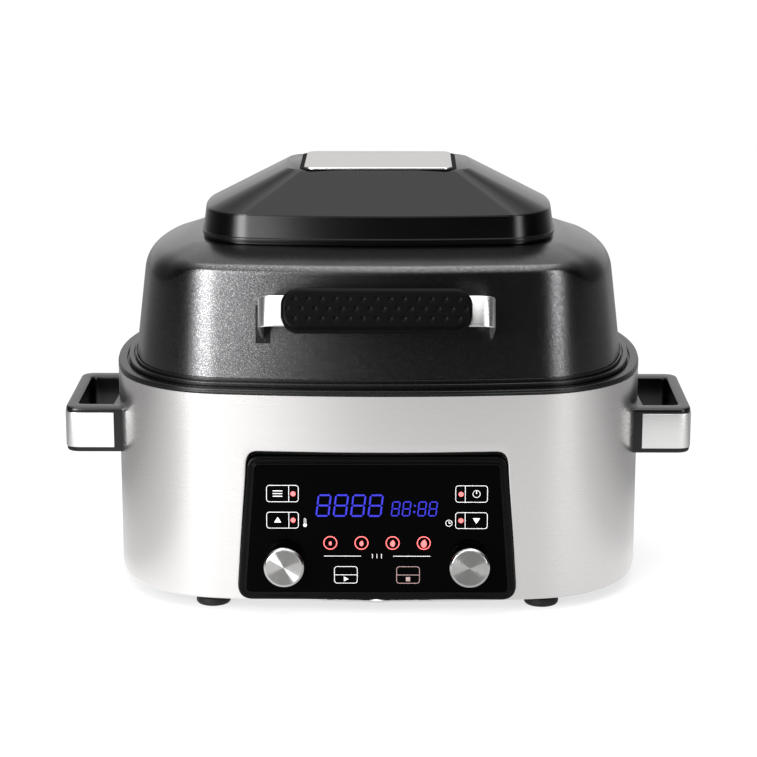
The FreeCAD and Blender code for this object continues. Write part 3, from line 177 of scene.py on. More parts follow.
def metalFinish(name, colour, rough, brush, depth, spread=0.08, shade=0.93, strength=0.25):
    # drawn metal: noise stretched into long fine lines sets roughness, tone and a shallow bump
    board = newFinish(name, Metallic=1.0)
    lines = board.noise(1.0, brush, metal["detail"])
    cloud = board.noise(metal["cloud"])
    tone = board.ramp(mixed(lines, cloud, metal["toneLines"]), *noiseSpan)
    dark = rgb(*(shade * c for c in colour))
    normal = board.bump(lines, strength, depth)
    gloss = mixed(lines, cloud, metal["roughLines"])
    roughness = board.ramp(gloss, *noiseSpan, rough - spread / 2, rough + spread / 2)
    colours = board.colours(tone, dark, rgb(*colour))
    return paintSkin(board, Base_Color=colours, Roughness=roughness, Normal=normal)


plastic = {"cloud": 14.0, "detail": 2.0, "toneSpan": (0.32, 0.68), "toneCloud": 0.6, "roughCloud": 0.5,
           "dark": 0.78, "pale": 1.2, "bump": 0.35}


def plasticFinish(name, colour, rough, pebble, depth, spread=0.1, level=0.5):
    # moulded plastic: fine pebble bump, slow change of tone and gloss
    board = newFinish(name)
    board.skin.inputs["Specular IOR Level"].default_value = level
    grain = board.noise(pebble, detail=plastic["detail"])
    cloud = board.noise(plastic["cloud"])
    tone = board.ramp(mixed(cloud, grain, plastic["toneCloud"]), *plastic["toneSpan"])
    dark, pale = (rgb(*(plastic[key] * c for c in colour)) for key in ("dark", "pale"))
    gloss = mixed(cloud, grain, plastic["roughCloud"])
    roughness = board.ramp(gloss, *noiseSpan, rough - spread / 2, rough + spread / 2)
    normal = board.bump(grain, plastic["bump"], depth)
    colours = board.colours(tone, dark, pale)
    return paintSkin(board, Base_Color=colours, Roughness=roughness, Normal=normal)


paint = {
    "grain": 1600.0, "fleck": 1700.0, "cloud": 12.0, "fleckSpan": (0.48, 0.68), "rough": (0.21, 0.25),
    "dark": (0.052, 0.052, 0.053), "glint": (0.13, 0.13, 0.132), "bump": 0.1, "depth": 0.0006,
    "grainDetail": 2.0, "fleckDetail": 1.0, "roughGrain": 0.7, "bumpGrain": 0.85,
}


def lidPaint():
    # hammered black paint: metal flakes under the coat, so each grain throws back its own glint
    board = newFinish("lidPaint", Metallic=1.0)
    grain = board.noise(paint["grain"], detail=paint["grainDetail"])
    fleck = board.noise(paint["fleck"], detail=paint["fleckDetail"])
    cloud = board.noise(paint["cloud"])
    speck = board.ramp(fleck, *paint["fleckSpan"])
    tone = board.colours(speck, rgb(*paint["dark"]), rgb(*paint["glint"]))
    gloss = mixed(grain, cloud, paint["roughGrain"])
    roughness = board.ramp(gloss, *noiseSpan, *paint["rough"])
    normal = board.bump(mixed(grain, fleck, paint["bumpGrain"]), paint["bump"], paint["depth"])
    return paintSkin(board, Base_Color=tone, Roughness=roughness, Normal=normal)


ink = {"grain": 900.0, "worn": 0.86, "rough": 0.4}


def lampFinish(name, colour, glow):
    # printed or lit mark: faint uneven ink over an even glow; on printed marks the glow is painted brightness
    board = newFinish(name, Roughness=ink["rough"])
    board.skin.inputs["Emission Strength"].default_value = glow
    patch = board.ramp(board.noise(ink["grain"]), *noiseSpan)
    tone = board.colours(patch, rgb(*(ink["worn"] * c for c in colour)), rgb(*colour))
    return paintSkin(board, Base_Color=tone, Emission_Color=tone)


glass = {"tone": (0.0004, 0.0004, 0.0005), "level": 0.02, "rough": (0.06, 0.13),
         "wipe": 30.0, "wipeStretch": (1, 1, 0.3), "wipeDetail": 4.0}


def panelGlass():
    # near-black glass with a trace of wipe marks in its gloss
    board = newFinish("panelGlass", Base_Color=rgb(*glass["tone"]), Specular_IOR_Level=glass["level"])
    wipe = board.noise(glass["wipe"], glass["wipeStretch"], glass["wipeDetail"])
    return paintSkin(board, Roughness=board.ramp(wipe, *noiseSpan, *glass["rough"]))


# by material slot; rough and spread are roughness, pebble is a noise scale, depth is in metres
metals = {
    "brushed_steel": dict(colour=(0.665, 0.65, 0.645), rough=0.27, brush=(5, 5, 1600), depth=2e-5,
                          spread=0.02, shade=0.985, strength=0.01),
    "bright_steel": dict(colour=(0.78, 0.775, 0.77), rough=0.28, brush=(6, 900, 900), depth=1e-5,
                         spread=0.05, shade=0.97, strength=0.1),
    "plate_steel": dict(colour=(0.58, 0.57, 0.555), rough=0.3, brush=(6, 900, 900), depth=1e-5,
                        spread=0.04, shade=0.97, strength=0.1),
    "knob_steel": dict(colour=(0.46, 0.455, 0.45), rough=0.12, brush=(300, 300, 300), depth=1e-5,
                       spread=0.06),
    "liner_steel": dict(colour=(0.6, 0.59, 0.58), rough=0.32, brush=(700, 6, 6), depth=2e-5),
    "encoder_metal": dict(colour=(0.6, 0.6, 0.6), rough=0.35, brush=(400, 400, 400), depth=2e-5),
    "screw_steel": dict(colour=(0.58, 0.58, 0.57), rough=0.3, brush=(500, 500, 500), depth=2e-5),
    "element_steel": dict(colour=(0.3, 0.29, 0.28), rough=0.4, brush=(60, 60, 60), depth=3e-5),
    "fan_aluminium": dict(colour=(0.75, 0.75, 0.76), rough=0.35, brush=(20, 20, 700), depth=2e-5),
}
plastics = {
    "rim_plastic": dict(colour=(0.0015, 0.0015, 0.0016), rough=0.27, pebble=900, depth=5e-5,
                        spread=0.06, level=0.3),
    "cap_plastic": dict(colour=(0.001, 0.001, 0.0011), rough=0.2, pebble=1400, depth=3e-5,
                        spread=0.05, level=0.27),
    "handle_plastic": dict(colour=(0.0012, 0.0012, 0.0013), rough=0.21, pebble=1100, depth=5e-5,
                           spread=0.06, level=0.36),
    "grip_rubber": dict(colour=(0.0005, 0.0005, 0.0005), rough=0.4, pebble=1300, depth=6e-5,
                        spread=0.08, level=0.05),
    "panel_plastic": dict(colour=(0.001, 0.001, 0.0011), rough=0.16, pebble=700, depth=2e-5,
                          spread=0.06, level=0.1),
    # painted shade: dead matt black for the ring that stands in for the shaded slot round the top plate
    "seat_black": dict(colour=(0.001, 0.001, 0.001), rough=0.6, pebble=700, depth=5e-5,
                       spread=0.05, level=0.03),
    "foot_rubber": dict(colour=(0.006, 0.006, 0.006), rough=0.62, pebble=800, depth=1e-4, level=0.2),
    "tray_plastic": dict(colour=(0.008, 0.008, 0.0085), rough=0.5, pebble=600, depth=1e-4),
    "pot_coating": dict(colour=(0.014, 0.014, 0.0145), rough=0.45, pebble=1600, depth=6e-5, level=0.2),
    "seal_rubber": dict(colour=(0.012, 0.012, 0.012), rough=0.7, pebble=700, depth=1e-4,
                        spread=0.08, level=0.2),
    "circuit_board": dict(colour=(0.02, 0.12, 0.05), rough=0.45, pebble=500, depth=5e-5),
    "display_plastic": dict(colour=(0.03, 0.03, 0.035), rough=0.3, pebble=700, depth=3e-5),
    "motor_paint": dict(colour=(0.06, 0.06, 0.065), rough=0.4, pebble=500, depth=8e-5),
    "hub_plastic": dict(colour=(0.03, 0.03, 0.03), rough=0.45, pebble=700, depth=5e-5),
    "thermostat_body": dict(colour=(0.35, 0.3, 0.24), rough=0.5, pebble=500, depth=5e-5),
}
lamps = {
    # the prints' glow is painted brightness, as print is no lamp; the blue digits and red lamps are lit
    "white_print": dict(colour=(0.6, 0.6, 0.61), glow=0.25),
    "dim_print": dict(colour=(0.3, 0.2, 0.19), glow=0.1),
    "blue_digits": dict(colour=(0.005, 0.005, 0.3), glow=0.75),
    "red_lamps": dict(colour=(0.9, 0.12, 0.12), glow=0.9),
}


def camel(words):
    # a slot's words run together, as the pieces are named
    first, *rest = words.split("_")
    return first + "".join(word.title() for word in rest)


finishes = {"lid_paint": lidPaint(), "panel_glass": panelGlass()}
for table, maker in ((metals, metalFinish), (plastics, plasticFinish), (lamps, lampFinish)):
    finishes.update({slotName: maker(camel(slotName), **values) for slotName, values in table.items()})
print("finishes:", len(finishes))


def gridFaces(n, m, wrapN=False, wrapM=False):
    # four-sided faces of n rows of m points, numbered row by row; a wrapped side closes on itself
    i, j = np.meshgrid(np.arange(n if wrapN else n - 1), np.arange(m if wrapM else m - 1), indexing="ij")
    i, j = i.ravel(), j.ravel()
    p, q = (i + 1) % n, (j + 1) % m
    return np.c_[i * m + j, p * m + j, p * m + q, i * m + q].tolist()


def placed(points, place):
    # local (u, v, h) to the frame: origin + u U + v V + h W
    if place is None:
        return points + np.array([0, middle, 0])
    return np.array(place[0]) + points @ np.array(place[1:])


def bent(start, corner, end, t):
    # quadratic arc from start to end, drawn towards the corner
    return (1 - t) ** 2 * start + 2 * t * (1 - t) * corner + t ** 2 * end


def cornerArc(before, corner, after, radius, steps):
    # the arc that rounds a corner, between the points a radius away from it on both sides
    start, end = (corner + (spot - corner) / np.linalg.norm(spot - corner) * radius
                  for spot in (before, after))
    return bent(start, corner, end, np.linspace(0, 1, steps + 1)[:, None])


def eased(t):
    # smooth step from 0 to 1: three t squared less two t cubed
    return t ** 2 * (3 - 2 * t)


def softened(corners, closed=False, steps=5):
    # corners (a, b, r): each becomes an arc between the points r away from it on both sides
    spots = np.array([c[:2] for c in corners], float)
    out = []
    for k, corner in enumerate(corners):
        radius = corner[2] if len(corner) > 2 else 0
        if radius <= 0 or (not closed and k in (0, len(corners) - 1)):
            out.append(spots[k:k + 1])
        else:
            out.append(cornerArc(spots[k - 1], spots[k], spots[(k + 1) % len(spots)], radius, steps))
    return np.vstack(out)


def loopOf(points):
    # a closed line with its outward normals, taken from the chord through each point's neighbours
    points = np.asarray(points, float)
    chord = np.roll(points, -1, 0) - np.roll(points, 1, 0)
    normal = np.c_[chord[:, 1], -chord[:, 0]]
    normal /= np.linalg.norm(normal, axis=1)[:, None]
    x, y = points.T
    turn = np.sum(x * np.roll(y, -1) - np.roll(x, -1) * y)
    return {"base": points, "normal": normal * np.sign(turn)}


def tangentOutline(plan, counts=(40, 22, 18)):
    # eight tangent arcs: where the outward normal points at t, the point is
    # centre(t) + radius(t) (cos t, sin t)
    wide, deep = plan["halfWidth"], plan["halfDepth"]
    rf, rs, rc = plan["frontRadius"], plan["sideRadius"], plan["cornerRadius"]
    front, side = np.array([0.0, rf - deep]), np.array([wide - rs, 0.0])
    gap = np.linalg.norm(side - front)
    along = (side - front) / gap
    reach = ((rf - rc) ** 2 - (rs - rc) ** 2 + gap ** 2) / (2 * gap)
    lift = math.sqrt((rf - rc) ** 2 - reach ** 2)
    corner = front + reach * along + lift * np.array([-along[1], along[0]])
    first = math.atan2(*(corner - front)[::-1])
    second = math.atan2(*(corner - side)[::-1])
    turns = [np.linspace(-math.pi / 2, first, counts[0]), np.linspace(first, second, counts[1])[1:],
             np.linspace(second, 0, counts[2])[1:]]
    quarter = np.concatenate(turns)
    centres = np.vstack([np.tile(c, (len(t), 1)) for c, t in zip((front, corner, side), turns)])
    radii = np.concatenate([np.full(len(t), r) for r, t in zip((rf, rc, rs), turns)])
    normal = np.c_[np.cos(quarter), np.sin(quarter)]

    def allRound(q):
        right = np.vstack([q, (q * [1, -1])[::-1][1:]])
        return np.vstack([right, (right * [-1, 1])[::-1][1:-1]])

    return {"base": allRound(centres + radii[:, None] * normal), "normal": allRound(normal)}


def roundedBox(halfWide, halfTall, radius, centre=(0, 0), steps=7):
    # rounded rectangle: the corner centre of the normal's quadrant plus radius times the normal
    t = np.concatenate([np.linspace(k, k + 1, steps + 1) for k in range(4)]) * math.pi / 2
    sign = np.repeat(np.array([(1, 1), (-1, 1), (-1, -1), (1, -1)]), steps + 1, 0)
    normal = np.c_[np.cos(t), np.sin(t)]
    base = sign * [halfWide - radius, halfTall - radius] + radius * normal + np.array(centre)
    return {"base": base, "normal": normal}


def sweep(loop, profile, place=None, closed=False, caps=(False, False), fans=True):
    # profile (inset, height) carried round a loop: loop point - inset * outward normal, at that height
    profile = np.asarray(profile, float)[:, :2]
    flat = loop["base"][:, None] - profile[None, :, :1] * loop["normal"][:, None]
    points = np.dstack([flat, np.broadcast_to(profile[None, :, 1], flat.shape[:2])])
    n, m = points.shape[:2]
    points = points.reshape(-1, 3)
    faces = gridFaces(n, m, True, closed)
    for wanted, column in zip(caps, (0, m - 1)):
        ring = np.arange(n) * m + column
        if wanted and fans:
            faces += np.c_[ring, np.roll(ring, -1), np.full(n, len(points))].tolist()
            points = np.vstack([points, points[ring].mean(0)])
        elif wanted:
            faces.append(ring.tolist())
    return placed(points, place), faces


def tubeFaces(n, m):
    # n closed sections of m points along a line, shut at both ends
    return gridFaces(n, m, False, True) + [list(range(m)), [(n - 1) * m + k for k in range(m)]]


def slab(points, low, high, place=None):
    # flat outline carried straight from low to high, closed at both ends
    loop = {"base": np.asarray(points, float), "normal": np.zeros((len(points), 2))}
    return sweep(loop, [(0, low), (0, high)], place, False, (True, True), False)


def lathe(profile, place, steps=72):
    # profile (radius, height) turned about the local axis
    t = np.linspace(0, 2 * math.pi, steps, endpoint=False)
    radius, height = np.asarray(profile, float).T[:2]
    across, along = np.outer(np.cos(t), radius), np.outer(np.sin(t), radius)
    points = np.dstack([across, along, np.tile(height, (steps, 1))])
    return placed(points.reshape(-1, 3), place), gridFaces(steps, len(radius), True)


def baked(piece, sharp):
    # the evaluated mesh takes the place of the modifiers
    bpy.context.view_layer.update()
    mesh = bpy.data.meshes.new_from_object(piece.evaluated_get(bpy.context.evaluated_depsgraph_get()))
    piece.modifiers.clear()
    piece.data = mesh
    mesh.set_sharp_from_angle(angle=math.radians(sharp))


def finishPiece(name, mesh, body, slotName, nodes, finish):
    # the mesh as an object in its finish, riding its body in place of its nodes
    piece = bpy.data.objects.new(name, mesh)
    bpy.context.scene.collection.objects.link(piece)
    mesh.materials.clear()
    mesh.materials.append(finish or finishes[slotName])
    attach(piece, body)
    if nodes:
        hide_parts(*nodes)
    return piece


weld, sliver = 2e-6, 1e-7  # metres: points nearer than this are one, edges shorter than this go


def cleanMesh(name, parts):
    # parts (points, faces) joined in one mesh, doubles merged and faces turned outwards
    points, faces, start = [], [], 0
    for spots, cells in parts:
        points.append(spots)
        faces += [[k + start for k in cell] for cell in cells]
        start += len(spots)
    points = np.vstack(points) * mm
    mesh = bpy.data.meshes.new(name)
    mesh.from_pydata(points.tolist(), [], faces)
    work = bmesh.new()
    work.from_mesh(mesh)
    bmesh.ops.remove_doubles(work, verts=work.verts, dist=weld)
    bmesh.ops.dissolve_degenerate(work, edges=work.edges, dist=sliver)
    bmesh.ops.recalc_face_normals(work, faces=work.faces)
    centre = sum((v.co for v in work.verts), start=work.verts[:][0].co * 0) / len(work.verts)
    swell = sum(f.calc_area() * f.normal.dot(f.calc_center_median() - centre) for f in work.faces)
    if swell < 0:
        bmesh.ops.reverse_faces(work, faces=work.faces)
    work.to_mesh(mesh)
    work.free()
    return mesh, points


def makePiece(name, parts, body, slotName, nodes=(), finish=None, thick=0, sharp=32):
    # one piece from its parts: thick makes a sheet of it, and turns over the sharp angle stay edges
    mesh, points = cleanMesh(name, parts)
    mesh.shade_smooth()
    mesh.set_sharp_from_angle(angle=math.radians(sharp))
    if nodes:
        boxes = [np.array(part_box(node)) for node in nodes]
        low, high = np.min([b[0] for b in boxes], 0), np.max([b[1] for b in boxes], 0)
        off = np.abs(np.r_[points.min(0) - low, points.max(0) - high]) / mm
        print(name, "off its solid by", np.round(off, 1).tolist())
    piece = finishPiece(name, mesh, body, slotName, nodes, finish)
    if thick:
        sheet = piece.modifiers.new("sheet", "SOLIDIFY")
        sheet.thickness, sheet.offset = thick * mm, -1
        baked(piece, sharp)
    return piece


def smoothCopy(node, finish=None, sharp=28):
    # the node's own solid, its triangles merged and shaded as one skin
    source = frame["nodes"][node]
    slotName = source.data.materials[0].name.split(".")[0]
    mesh = source.data.copy()
    mesh.name = node + "Skin"
    work = bmesh.new()
    work.from_mesh(mesh)
    bmesh.ops.remove_doubles(work, verts=work.verts, dist=weld)
    work.to_mesh(mesh)
    work.free()
    if "custom_normal" in mesh.attributes:
        mesh.attributes.remove(mesh.attributes["custom_normal"])
    mesh.shade_smooth()
    mesh.set_sharp_from_angle(angle=math.radians(sharp))
    return finishPiece(node + "Skin", mesh, source["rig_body"], slotName, (node,), finish)


# plan: the wall's outline from above; panel: the front plate in its own tilted plane
plan = {
    "halfWidth": (wallHigh[0] - wallLow[0]) / 2, "halfDepth": (wallHigh[1] - wallLow[1]) / 2,
    "frontRadius": 857.0, "sideRadius": 212.6, "cornerRadius": 78.0,
}
outline = tangentOutline(plan)
panel = {
    "foot": 11.0, "proud": 0.6, "tilt": 4.0, "height": 97.2, "halfLow": 92.9, "halfHigh": 85.7,
    "cornerLow": 10.5, "cornerHigh": 8.0, "rim": 5.3, "depth": 8.0, "edge": 1.3,
    "seamAt": (2.6, 2.8, 3.3, 3.5), "seamDeep": 0.35, "lipIn": (0.35, 0.2), "lipHigh": (0.12, 0.1),
    "glassSunk": 0.3, "glassGap": 0.15, "glassFlat": 0.3, "glassFoot": -3.0,
}
lean = math.radians(panel["tilt"])
panelPlace = ((0, middle - plan["halfDepth"] - panel["proud"], panel["foot"]), (1, 0, 0),
              (0, math.sin(lean), math.cos(lean)), (0, -math.cos(lean), math.sin(lean)))


def panelLine(grow, across=61, up=25, arc=6):
    # rounded trapezium, side by side from corner to corner, so each side has a set number of points
    low, high, tall = panel["halfLow"] + grow, panel["halfHigh"] + grow, panel["height"]
    spots = np.array([(-low, -grow), (low, -grow), (high, tall + grow), (-high, tall + grow)])
    sizes = [panel["cornerLow"]] * 2 + [panel["cornerHigh"]] * 2
    arcs = [cornerArc(spots[k - 1], spots[k], spots[(k + 1) % 4], sizes[k], 2 * arc) for k in range(4)]
    sides = []
    for k, count in enumerate((across, up, across, up)):
        first, last = arcs[k][arc:], arcs[(k + 1) % 4][:arc + 1]
        run = np.linspace(first[-1], last[0], count - 2 * arc)[1:-1]
        sides.append(np.vstack([first, run, last])[:-1])
    return np.vstack(sides)


# steel wall: a patch between the panel's opening and a window frame, a strip round the back, a curled foot
wallSolid = Solid("steel_wall")
wall = {
    "foot": wallSolid.foot, "top": wallSolid.top, "curl": 1.6, "curlBend": 1.3, "lip": 5.0, "sheet": 0.8,
    "window": 100.0, "windowGap": 0.5, "across": 61, "up": 25, "depth": 9.0, "clear": 0.3, "sill": 0.25,
    "brow": 4.3, "browRun": 16.0, "edgeIn": 0.14, "edgeOut": 1.3, "edgeRows": 6, "patchRows": 8,
}
frontCentre = plan["frontRadius"] - plan["halfDepth"]


def wallFront(x):
    # the plan's front arc: centre less the root of radius squared less x squared
    return frontCentre - np.sqrt(plan["frontRadius"] ** 2 - x ** 2)


def frontNormal(spots):
    # outwards on that arc: spot less centre, over the radius
    return (spots - [0, frontCentre]) / plan["frontRadius"]


def onWall(spots, back=0.0):
    # spots (across, up) laid on the front arc, or that far behind it
    return np.c_[spots[:, 0], wallFront(spots[:, 0]) + back, spots[:, 1]]


def steelWall():
    low, high, window = wall["foot"] + wall["curl"], wall["top"], wall["window"]
    inner = panelLine(wall["clear"], wall["across"], wall["up"])
    inner[:, 1] = np.maximum(panel["foot"] + inner[:, 1] * math.cos(lean), low + wall["sill"])
    climb = np.clip((inner[:, 1] - panel["foot"] - panel["height"]) / wall["browRun"] + 1, 0, 1)
    hole = inner + np.c_[np.zeros(len(inner)), wall["brow"] * eased(climb)]
    xs, zs = np.linspace(-window, window, wall["across"]), np.linspace(low, high, wall["up"])
    sides = [np.c_[xs, np.full_like(xs, low)], np.c_[np.full_like(zs, window), zs],
             np.c_[xs[::-1], np.full_like(xs, high)], np.c_[np.full_like(zs, -window), zs[::-1]]]
    border = np.vstack([side[:-1] for side in sides])
    # rows from deep in the opening, round its edge and out to the window
    deep, edge = onWall(inner, wall["depth"]), onWall(hole)
    away = onWall(border) - edge
    away /= np.linalg.norm(away, axis=1)[:, None]
    near, far = edge + (deep - edge) * wall["edgeIn"], edge + away * wall["edgeOut"]
    rows = [deep, (edge + deep) / 2]
    rows += [bent(near, edge, far, t) for t in np.linspace(0, 1, wall["edgeRows"])]
    flat = far[:, [0, 2]]
    rows += [onWall(flat + (border - flat) * t) for t in np.linspace(0, 1, wall["patchRows"])[1:]]
    patch = placed(np.vstack(rows), None), gridFaces(len(rows), len(inner), False, True)
    base, normal = outline["base"], outline["normal"]
    keep = ~((base[:, 1] < 0) & (np.abs(base[:, 0]) < window + wall["windowGap"]))
    ends = np.array([(window, wallFront(window)), (-window, wallFront(window))])
    path = np.vstack([ends[:1], base[keep], ends[1:]])
    strip = np.dstack([np.repeat(path[:, None], len(zs), 1), np.tile(zs, (len(path), 1))])
    strip = placed(strip.reshape(-1, 3), None), gridFaces(len(path), len(zs))
    front = np.c_[xs, wallFront(xs)]
    foot = {"base": np.vstack([front, base[keep]]), "normal": np.vstack([frontNormal(front), normal[keep]])}
    curl = softened([(0, low), (0, wall["foot"], wall["curlBend"]), (wall["lip"], wall["foot"])], False, 6)
    parts = [patch, strip, sweep(foot, curl)]
    makePiece("wallSkin", parts, "base", "brushed_steel", ["steel_wall"], thick=wall["sheet"])


steelWall()

# hinge at the back: ears on the rim, knuckles on the flange
pins = Solid("hinge_pins")
hinge = {
    "behind": pins.along, "height": pins.up, "radius": 7.3, "spread": 60.0, "edge": 0.6, "footBack": 2.0,
    "gap": 0.4, "earWide": 4.5, "earFoot": 151.4, "earReach": 9.0,
    "knuckleHalf": 6.4, "knuckleFoot": 153.2, "knuckleReach": 24.0,
}


def hingeTab(centre, half, foot, reach):
    # rounded tab in the Y-Z plane: half circle about the hinge line, straight down to its foot
    t = np.linspace(0, math.pi, 17)
    behind, radius, edge = hinge["behind"], hinge["radius"], hinge["edge"]
    top = np.c_[behind + radius * np.cos(t), hinge["height"] + radius * np.sin(t)]
    line = np.vstack([top, [(behind - reach, foot), (behind + radius - hinge["footBack"], foot)]])
    low, high = centre - half, centre + half
    profile = [(edge, low), (0, low + edge), (0, high - edge), (edge, high)]
    place = ((0, middle, 0), (0, 1, 0), (0, 0, 1), (1, 0, 0))
    return sweep(loopOf(line), profile, place, False, (True, True))


# top rim: a step and a lip outside, a ledge under the lid's flange and a seat for the pot inside
rim = {
    "low": 150.6, "line": 151.9, "shoulder": 152.3, "top": 153.9, "ledge": 152.1, "seat": 150.6,
    "plate": 148.1, "wallIn": 0.9, "step": 0.45, "lip": 6.5, "ledgeIn": 20.0, "seatIn": 28.0,
}
rimProfile = softened([
    (rim["wallIn"], rim["low"]), (0.0, rim["low"], 0.3), (0.0, rim["line"], 0.3),
    (rim["step"], rim["shoulder"], 0.2), (rim["step"], rim["top"], 0.9),
    (rim["lip"], rim["top"], 0.7), (rim["lip"], rim["ledge"], 0.3),
    (rim["ledgeIn"], rim["ledge"], 0.4), (rim["ledgeIn"], rim["seat"], 0.3),
    (rim["seatIn"], rim["seat"], 0.5), (rim["seatIn"], rim["plate"]), (rim["wallIn"], rim["plate"]),
], True, 4)
earHalf = hinge["earWide"] / 2
earStep = hinge["knuckleHalf"] + hinge["gap"] + earHalf
ears = [hingeTab(side * (hinge["spread"] + step * earStep), earHalf, hinge["earFoot"], hinge["earReach"])
        for side in (-1, 1) for step in (-1, 1)]
makePiece("rimSkin", [sweep(outline, rimProfile, None, True)] + ears, "base", "rim_plastic", ["top_rim"])

# lid flange: shelf, groove, bead, then a flat under the dome
flange = {
    "lip": 7.7, "low": Solid("lid_flange").foot, "shelf": 156.7,
    "groove": 155.5, "grooveAt": (11.1, 11.3, 11.7, 11.8),
    "bead": 158.6, "dip": 157.5, "beadAt": (12.8, 12.9, 14.4, 14.6), "top": 158.2, "inner": 22.5,
}
groove, bead = flange["grooveAt"], flange["beadAt"]
flangeProfile = softened([
    (flange["lip"], flange["low"], 0.4), (flange["lip"], flange["shelf"], 0.9),
    (groove[0], flange["shelf"], 0.5), (groove[1], flange["groove"]), (groove[2], flange["groove"]),
    (groove[3], flange["bead"], 0.4), (bead[0], flange["bead"], 0.4), (bead[1], flange["dip"]),
    (bead[2], flange["dip"]), (bead[3], flange["top"]), (flange["inner"], flange["top"]),
    (flange["inner"], flange["low"]),
], True, 4)
knuckle = (hinge["knuckleHalf"], hinge["knuckleFoot"], hinge["knuckleReach"])
knuckles = [hingeTab(side * hinge["spread"], *knuckle) for side in (-1, 1)]
flangeParts = [sweep(outline, flangeProfile, None, True)] + knuckles
makePiece("flangeSkin", flangeParts, "lid", "rim_plastic", ["lid_flange"])

# lid dome: drafted sides, a bend at the shoulder, a nearly flat crown
shell = Solid("lid_shell")
dome = {
    "inset": 13.2, "foot": shell.foot, "draft": 6.9, "crownInset": 50.0, "crown": shell.top, "sheet": 1.0,
    "turnFrom": 0.6, "turnTo": 0.96, "rows": 12, "bendRows": 14,
    "side": {"shoulder": 229.0, "bend": 13.6}, "front": {"shoulder": 231.2, "bend": 5.0},
}


def domeProfile(part):
    # straight draft up from the foot, a bend at the shoulder, then straight in to the crown
    inset = dome["inset"] + math.tan(math.radians(dome["draft"])) * (part["shoulder"] - dome["foot"])
    line = softened([
        (dome["inset"], dome["foot"]), (inset, part["shoulder"], part["bend"]),
        (dome["crownInset"], dome["crown"]),
    ], False, dome["bendRows"])
    rise = np.linspace(0, 1, dome["rows"])[:, None]
    return np.vstack([line[0] + (line[1] - line[0]) * rise, line[2:]])


def lidDome():
    # two profiles round one loop, tight at front and back and round at the sides,
    # mixed by the normal's direction; a fan closes the crown
    base, normal = outline["base"], outline["normal"]
    turn = (np.abs(normal[:, 1]) - dome["turnFrom"]) / (dome["turnTo"] - dome["turnFrom"])
    turn = eased(np.clip(turn, 0, 1))[:, None, None]
    profile = domeProfile(dome["front"]) * turn + domeProfile(dome["side"]) * (1 - turn)
    points = np.dstack([base[:, None] - profile[..., :1] * normal[:, None], profile[..., 1]])
    n, m = points.shape[:2]
    ring = np.arange(n) * m + m - 1
    faces = gridFaces(n, m, True) + np.c_[ring, np.roll(ring, -1), np.full(n, n * m)].tolist()
    points = placed(np.vstack([points.reshape(-1, 3), (0, 0, dome["crown"])]), None)
    makePiece("domeSkin", [(points, faces)], "lid", "lid_paint", ["lid_shell"], thick=dome["sheet"])


lidDome()
print("wall, rim, flange and dome done")

# cap: bead, band, then the loop slides from the shoulder's outline to the crest's
capSolid = Solid("top_cap")
cap = {
    "plan": {"halfWidth": 118.2, "halfDepth": 59.6, "frontRadius": 700.0, "sideRadius": 157.0,
             "cornerRadius": 34.5},
    "crest": {"halfWidth": 62.9, "halfDepth": 38.1, "frontRadius": 600.0, "sideRadius": 200.0,
              "cornerRadius": 14.0},
    "foot": capSolid.foot, "shoulder": 258.64, "top": capSolid.top,
    "flare": 3.0, "bead": 2.6, "beadBend": 0.7, "beadStep": 0.9, "bandBend": 0.4,
    "roll": ((-0.1, 0.9), (0.0, 0.4), (0.25, 0.0)),  # inset, and depth below the shoulder
    "rows": 22, "rowsAt": (0.012, 0.03, 0.985, 0.998), "crestAt": 0.995, "crestIn": 0.6, "sharp": 24,
    "slots": 13, "slotWide": 4.0, "slotCorner": 1.6, "slotPitch": 9.0, "slotMargin": 4.2, "slotLift": 0.8,
    "slotFrom": 50.0, "slotTo": 75.0,
}


def topCap():
    # row at t: shoulder outline times (1 - t) plus crest outline times t, its height rising evenly with t
    low, crest = tangentOutline(cap["plan"]), tangentOutline(cap["crest"])
    foot, shoulder, top, flare = cap["foot"], cap["shoulder"], cap["top"], cap["flare"]
    bead = foot + cap["bead"]
    roll = [(inset, shoulder - down) for inset, down in cap["roll"]]
    band = softened([
        (-flare, foot), (-flare, bead, cap["beadBend"]),
        (cap["beadStep"] - flare, bead, cap["bandBend"]), *roll,
    ], False, 4)
    count = len(low["base"])
    rows = [np.c_[low["base"] - inset * low["normal"], np.full(count, z)] for inset, z in band]
    near, start, stop, last = cap["rowsAt"]
    for t in np.r_[near, np.linspace(start, stop, cap["rows"]), last]:  # closer rows make the edges crisp
        spots = low["base"] * (1 - t) + crest["base"] * t
        rows.append(np.c_[spots, np.full(count, shoulder + (top - shoulder) * min(t, cap["crestAt"]))])
    rows.append(np.c_[crest["base"] - cap["crestIn"] * crest["normal"], np.full(count, top)])
    points = np.stack(rows, 1)
    n, m = points.shape[:2]
    faces = gridFaces(n, m, True) + [(np.arange(n) * m).tolist(), (np.arange(n) * m + m - 1).tolist()]
    skin = placed(points.reshape(-1, 3), None), faces
    piece = makePiece("capSkin", [skin], "lid", "cap_plastic", ["top_cap"], sharp=cap["sharp"])
    half = (shoulder - foot) / 2 - cap["slotMargin"]
    place = ((0, middle, 0), (1, 0, 0), (0, 0, 1), (0, 1, 0))
    slots = []
    for k in range(cap["slots"]):
        centre = (k - (cap["slots"] - 1) / 2) * cap["slotPitch"], (shoulder + foot) / 2 + cap["slotLift"]
        loop = roundedBox(cap["slotWide"] / 2, half, cap["slotCorner"], centre, 4)
        slots.append(slab(loop["base"], cap["slotFrom"], cap["slotTo"], place))
    tool = bpy.data.objects.new("slotTool", cleanMesh("slots", slots)[0])
    bpy.context.scene.collection.objects.link(tool)
    carve = piece.modifiers.new("slots", "BOOLEAN")
    carve.operation, carve.object, carve.solver = "DIFFERENCE", tool, "EXACT"
    baked(piece, cap["sharp"])
    bpy.data.objects.remove(tool)


topCap()
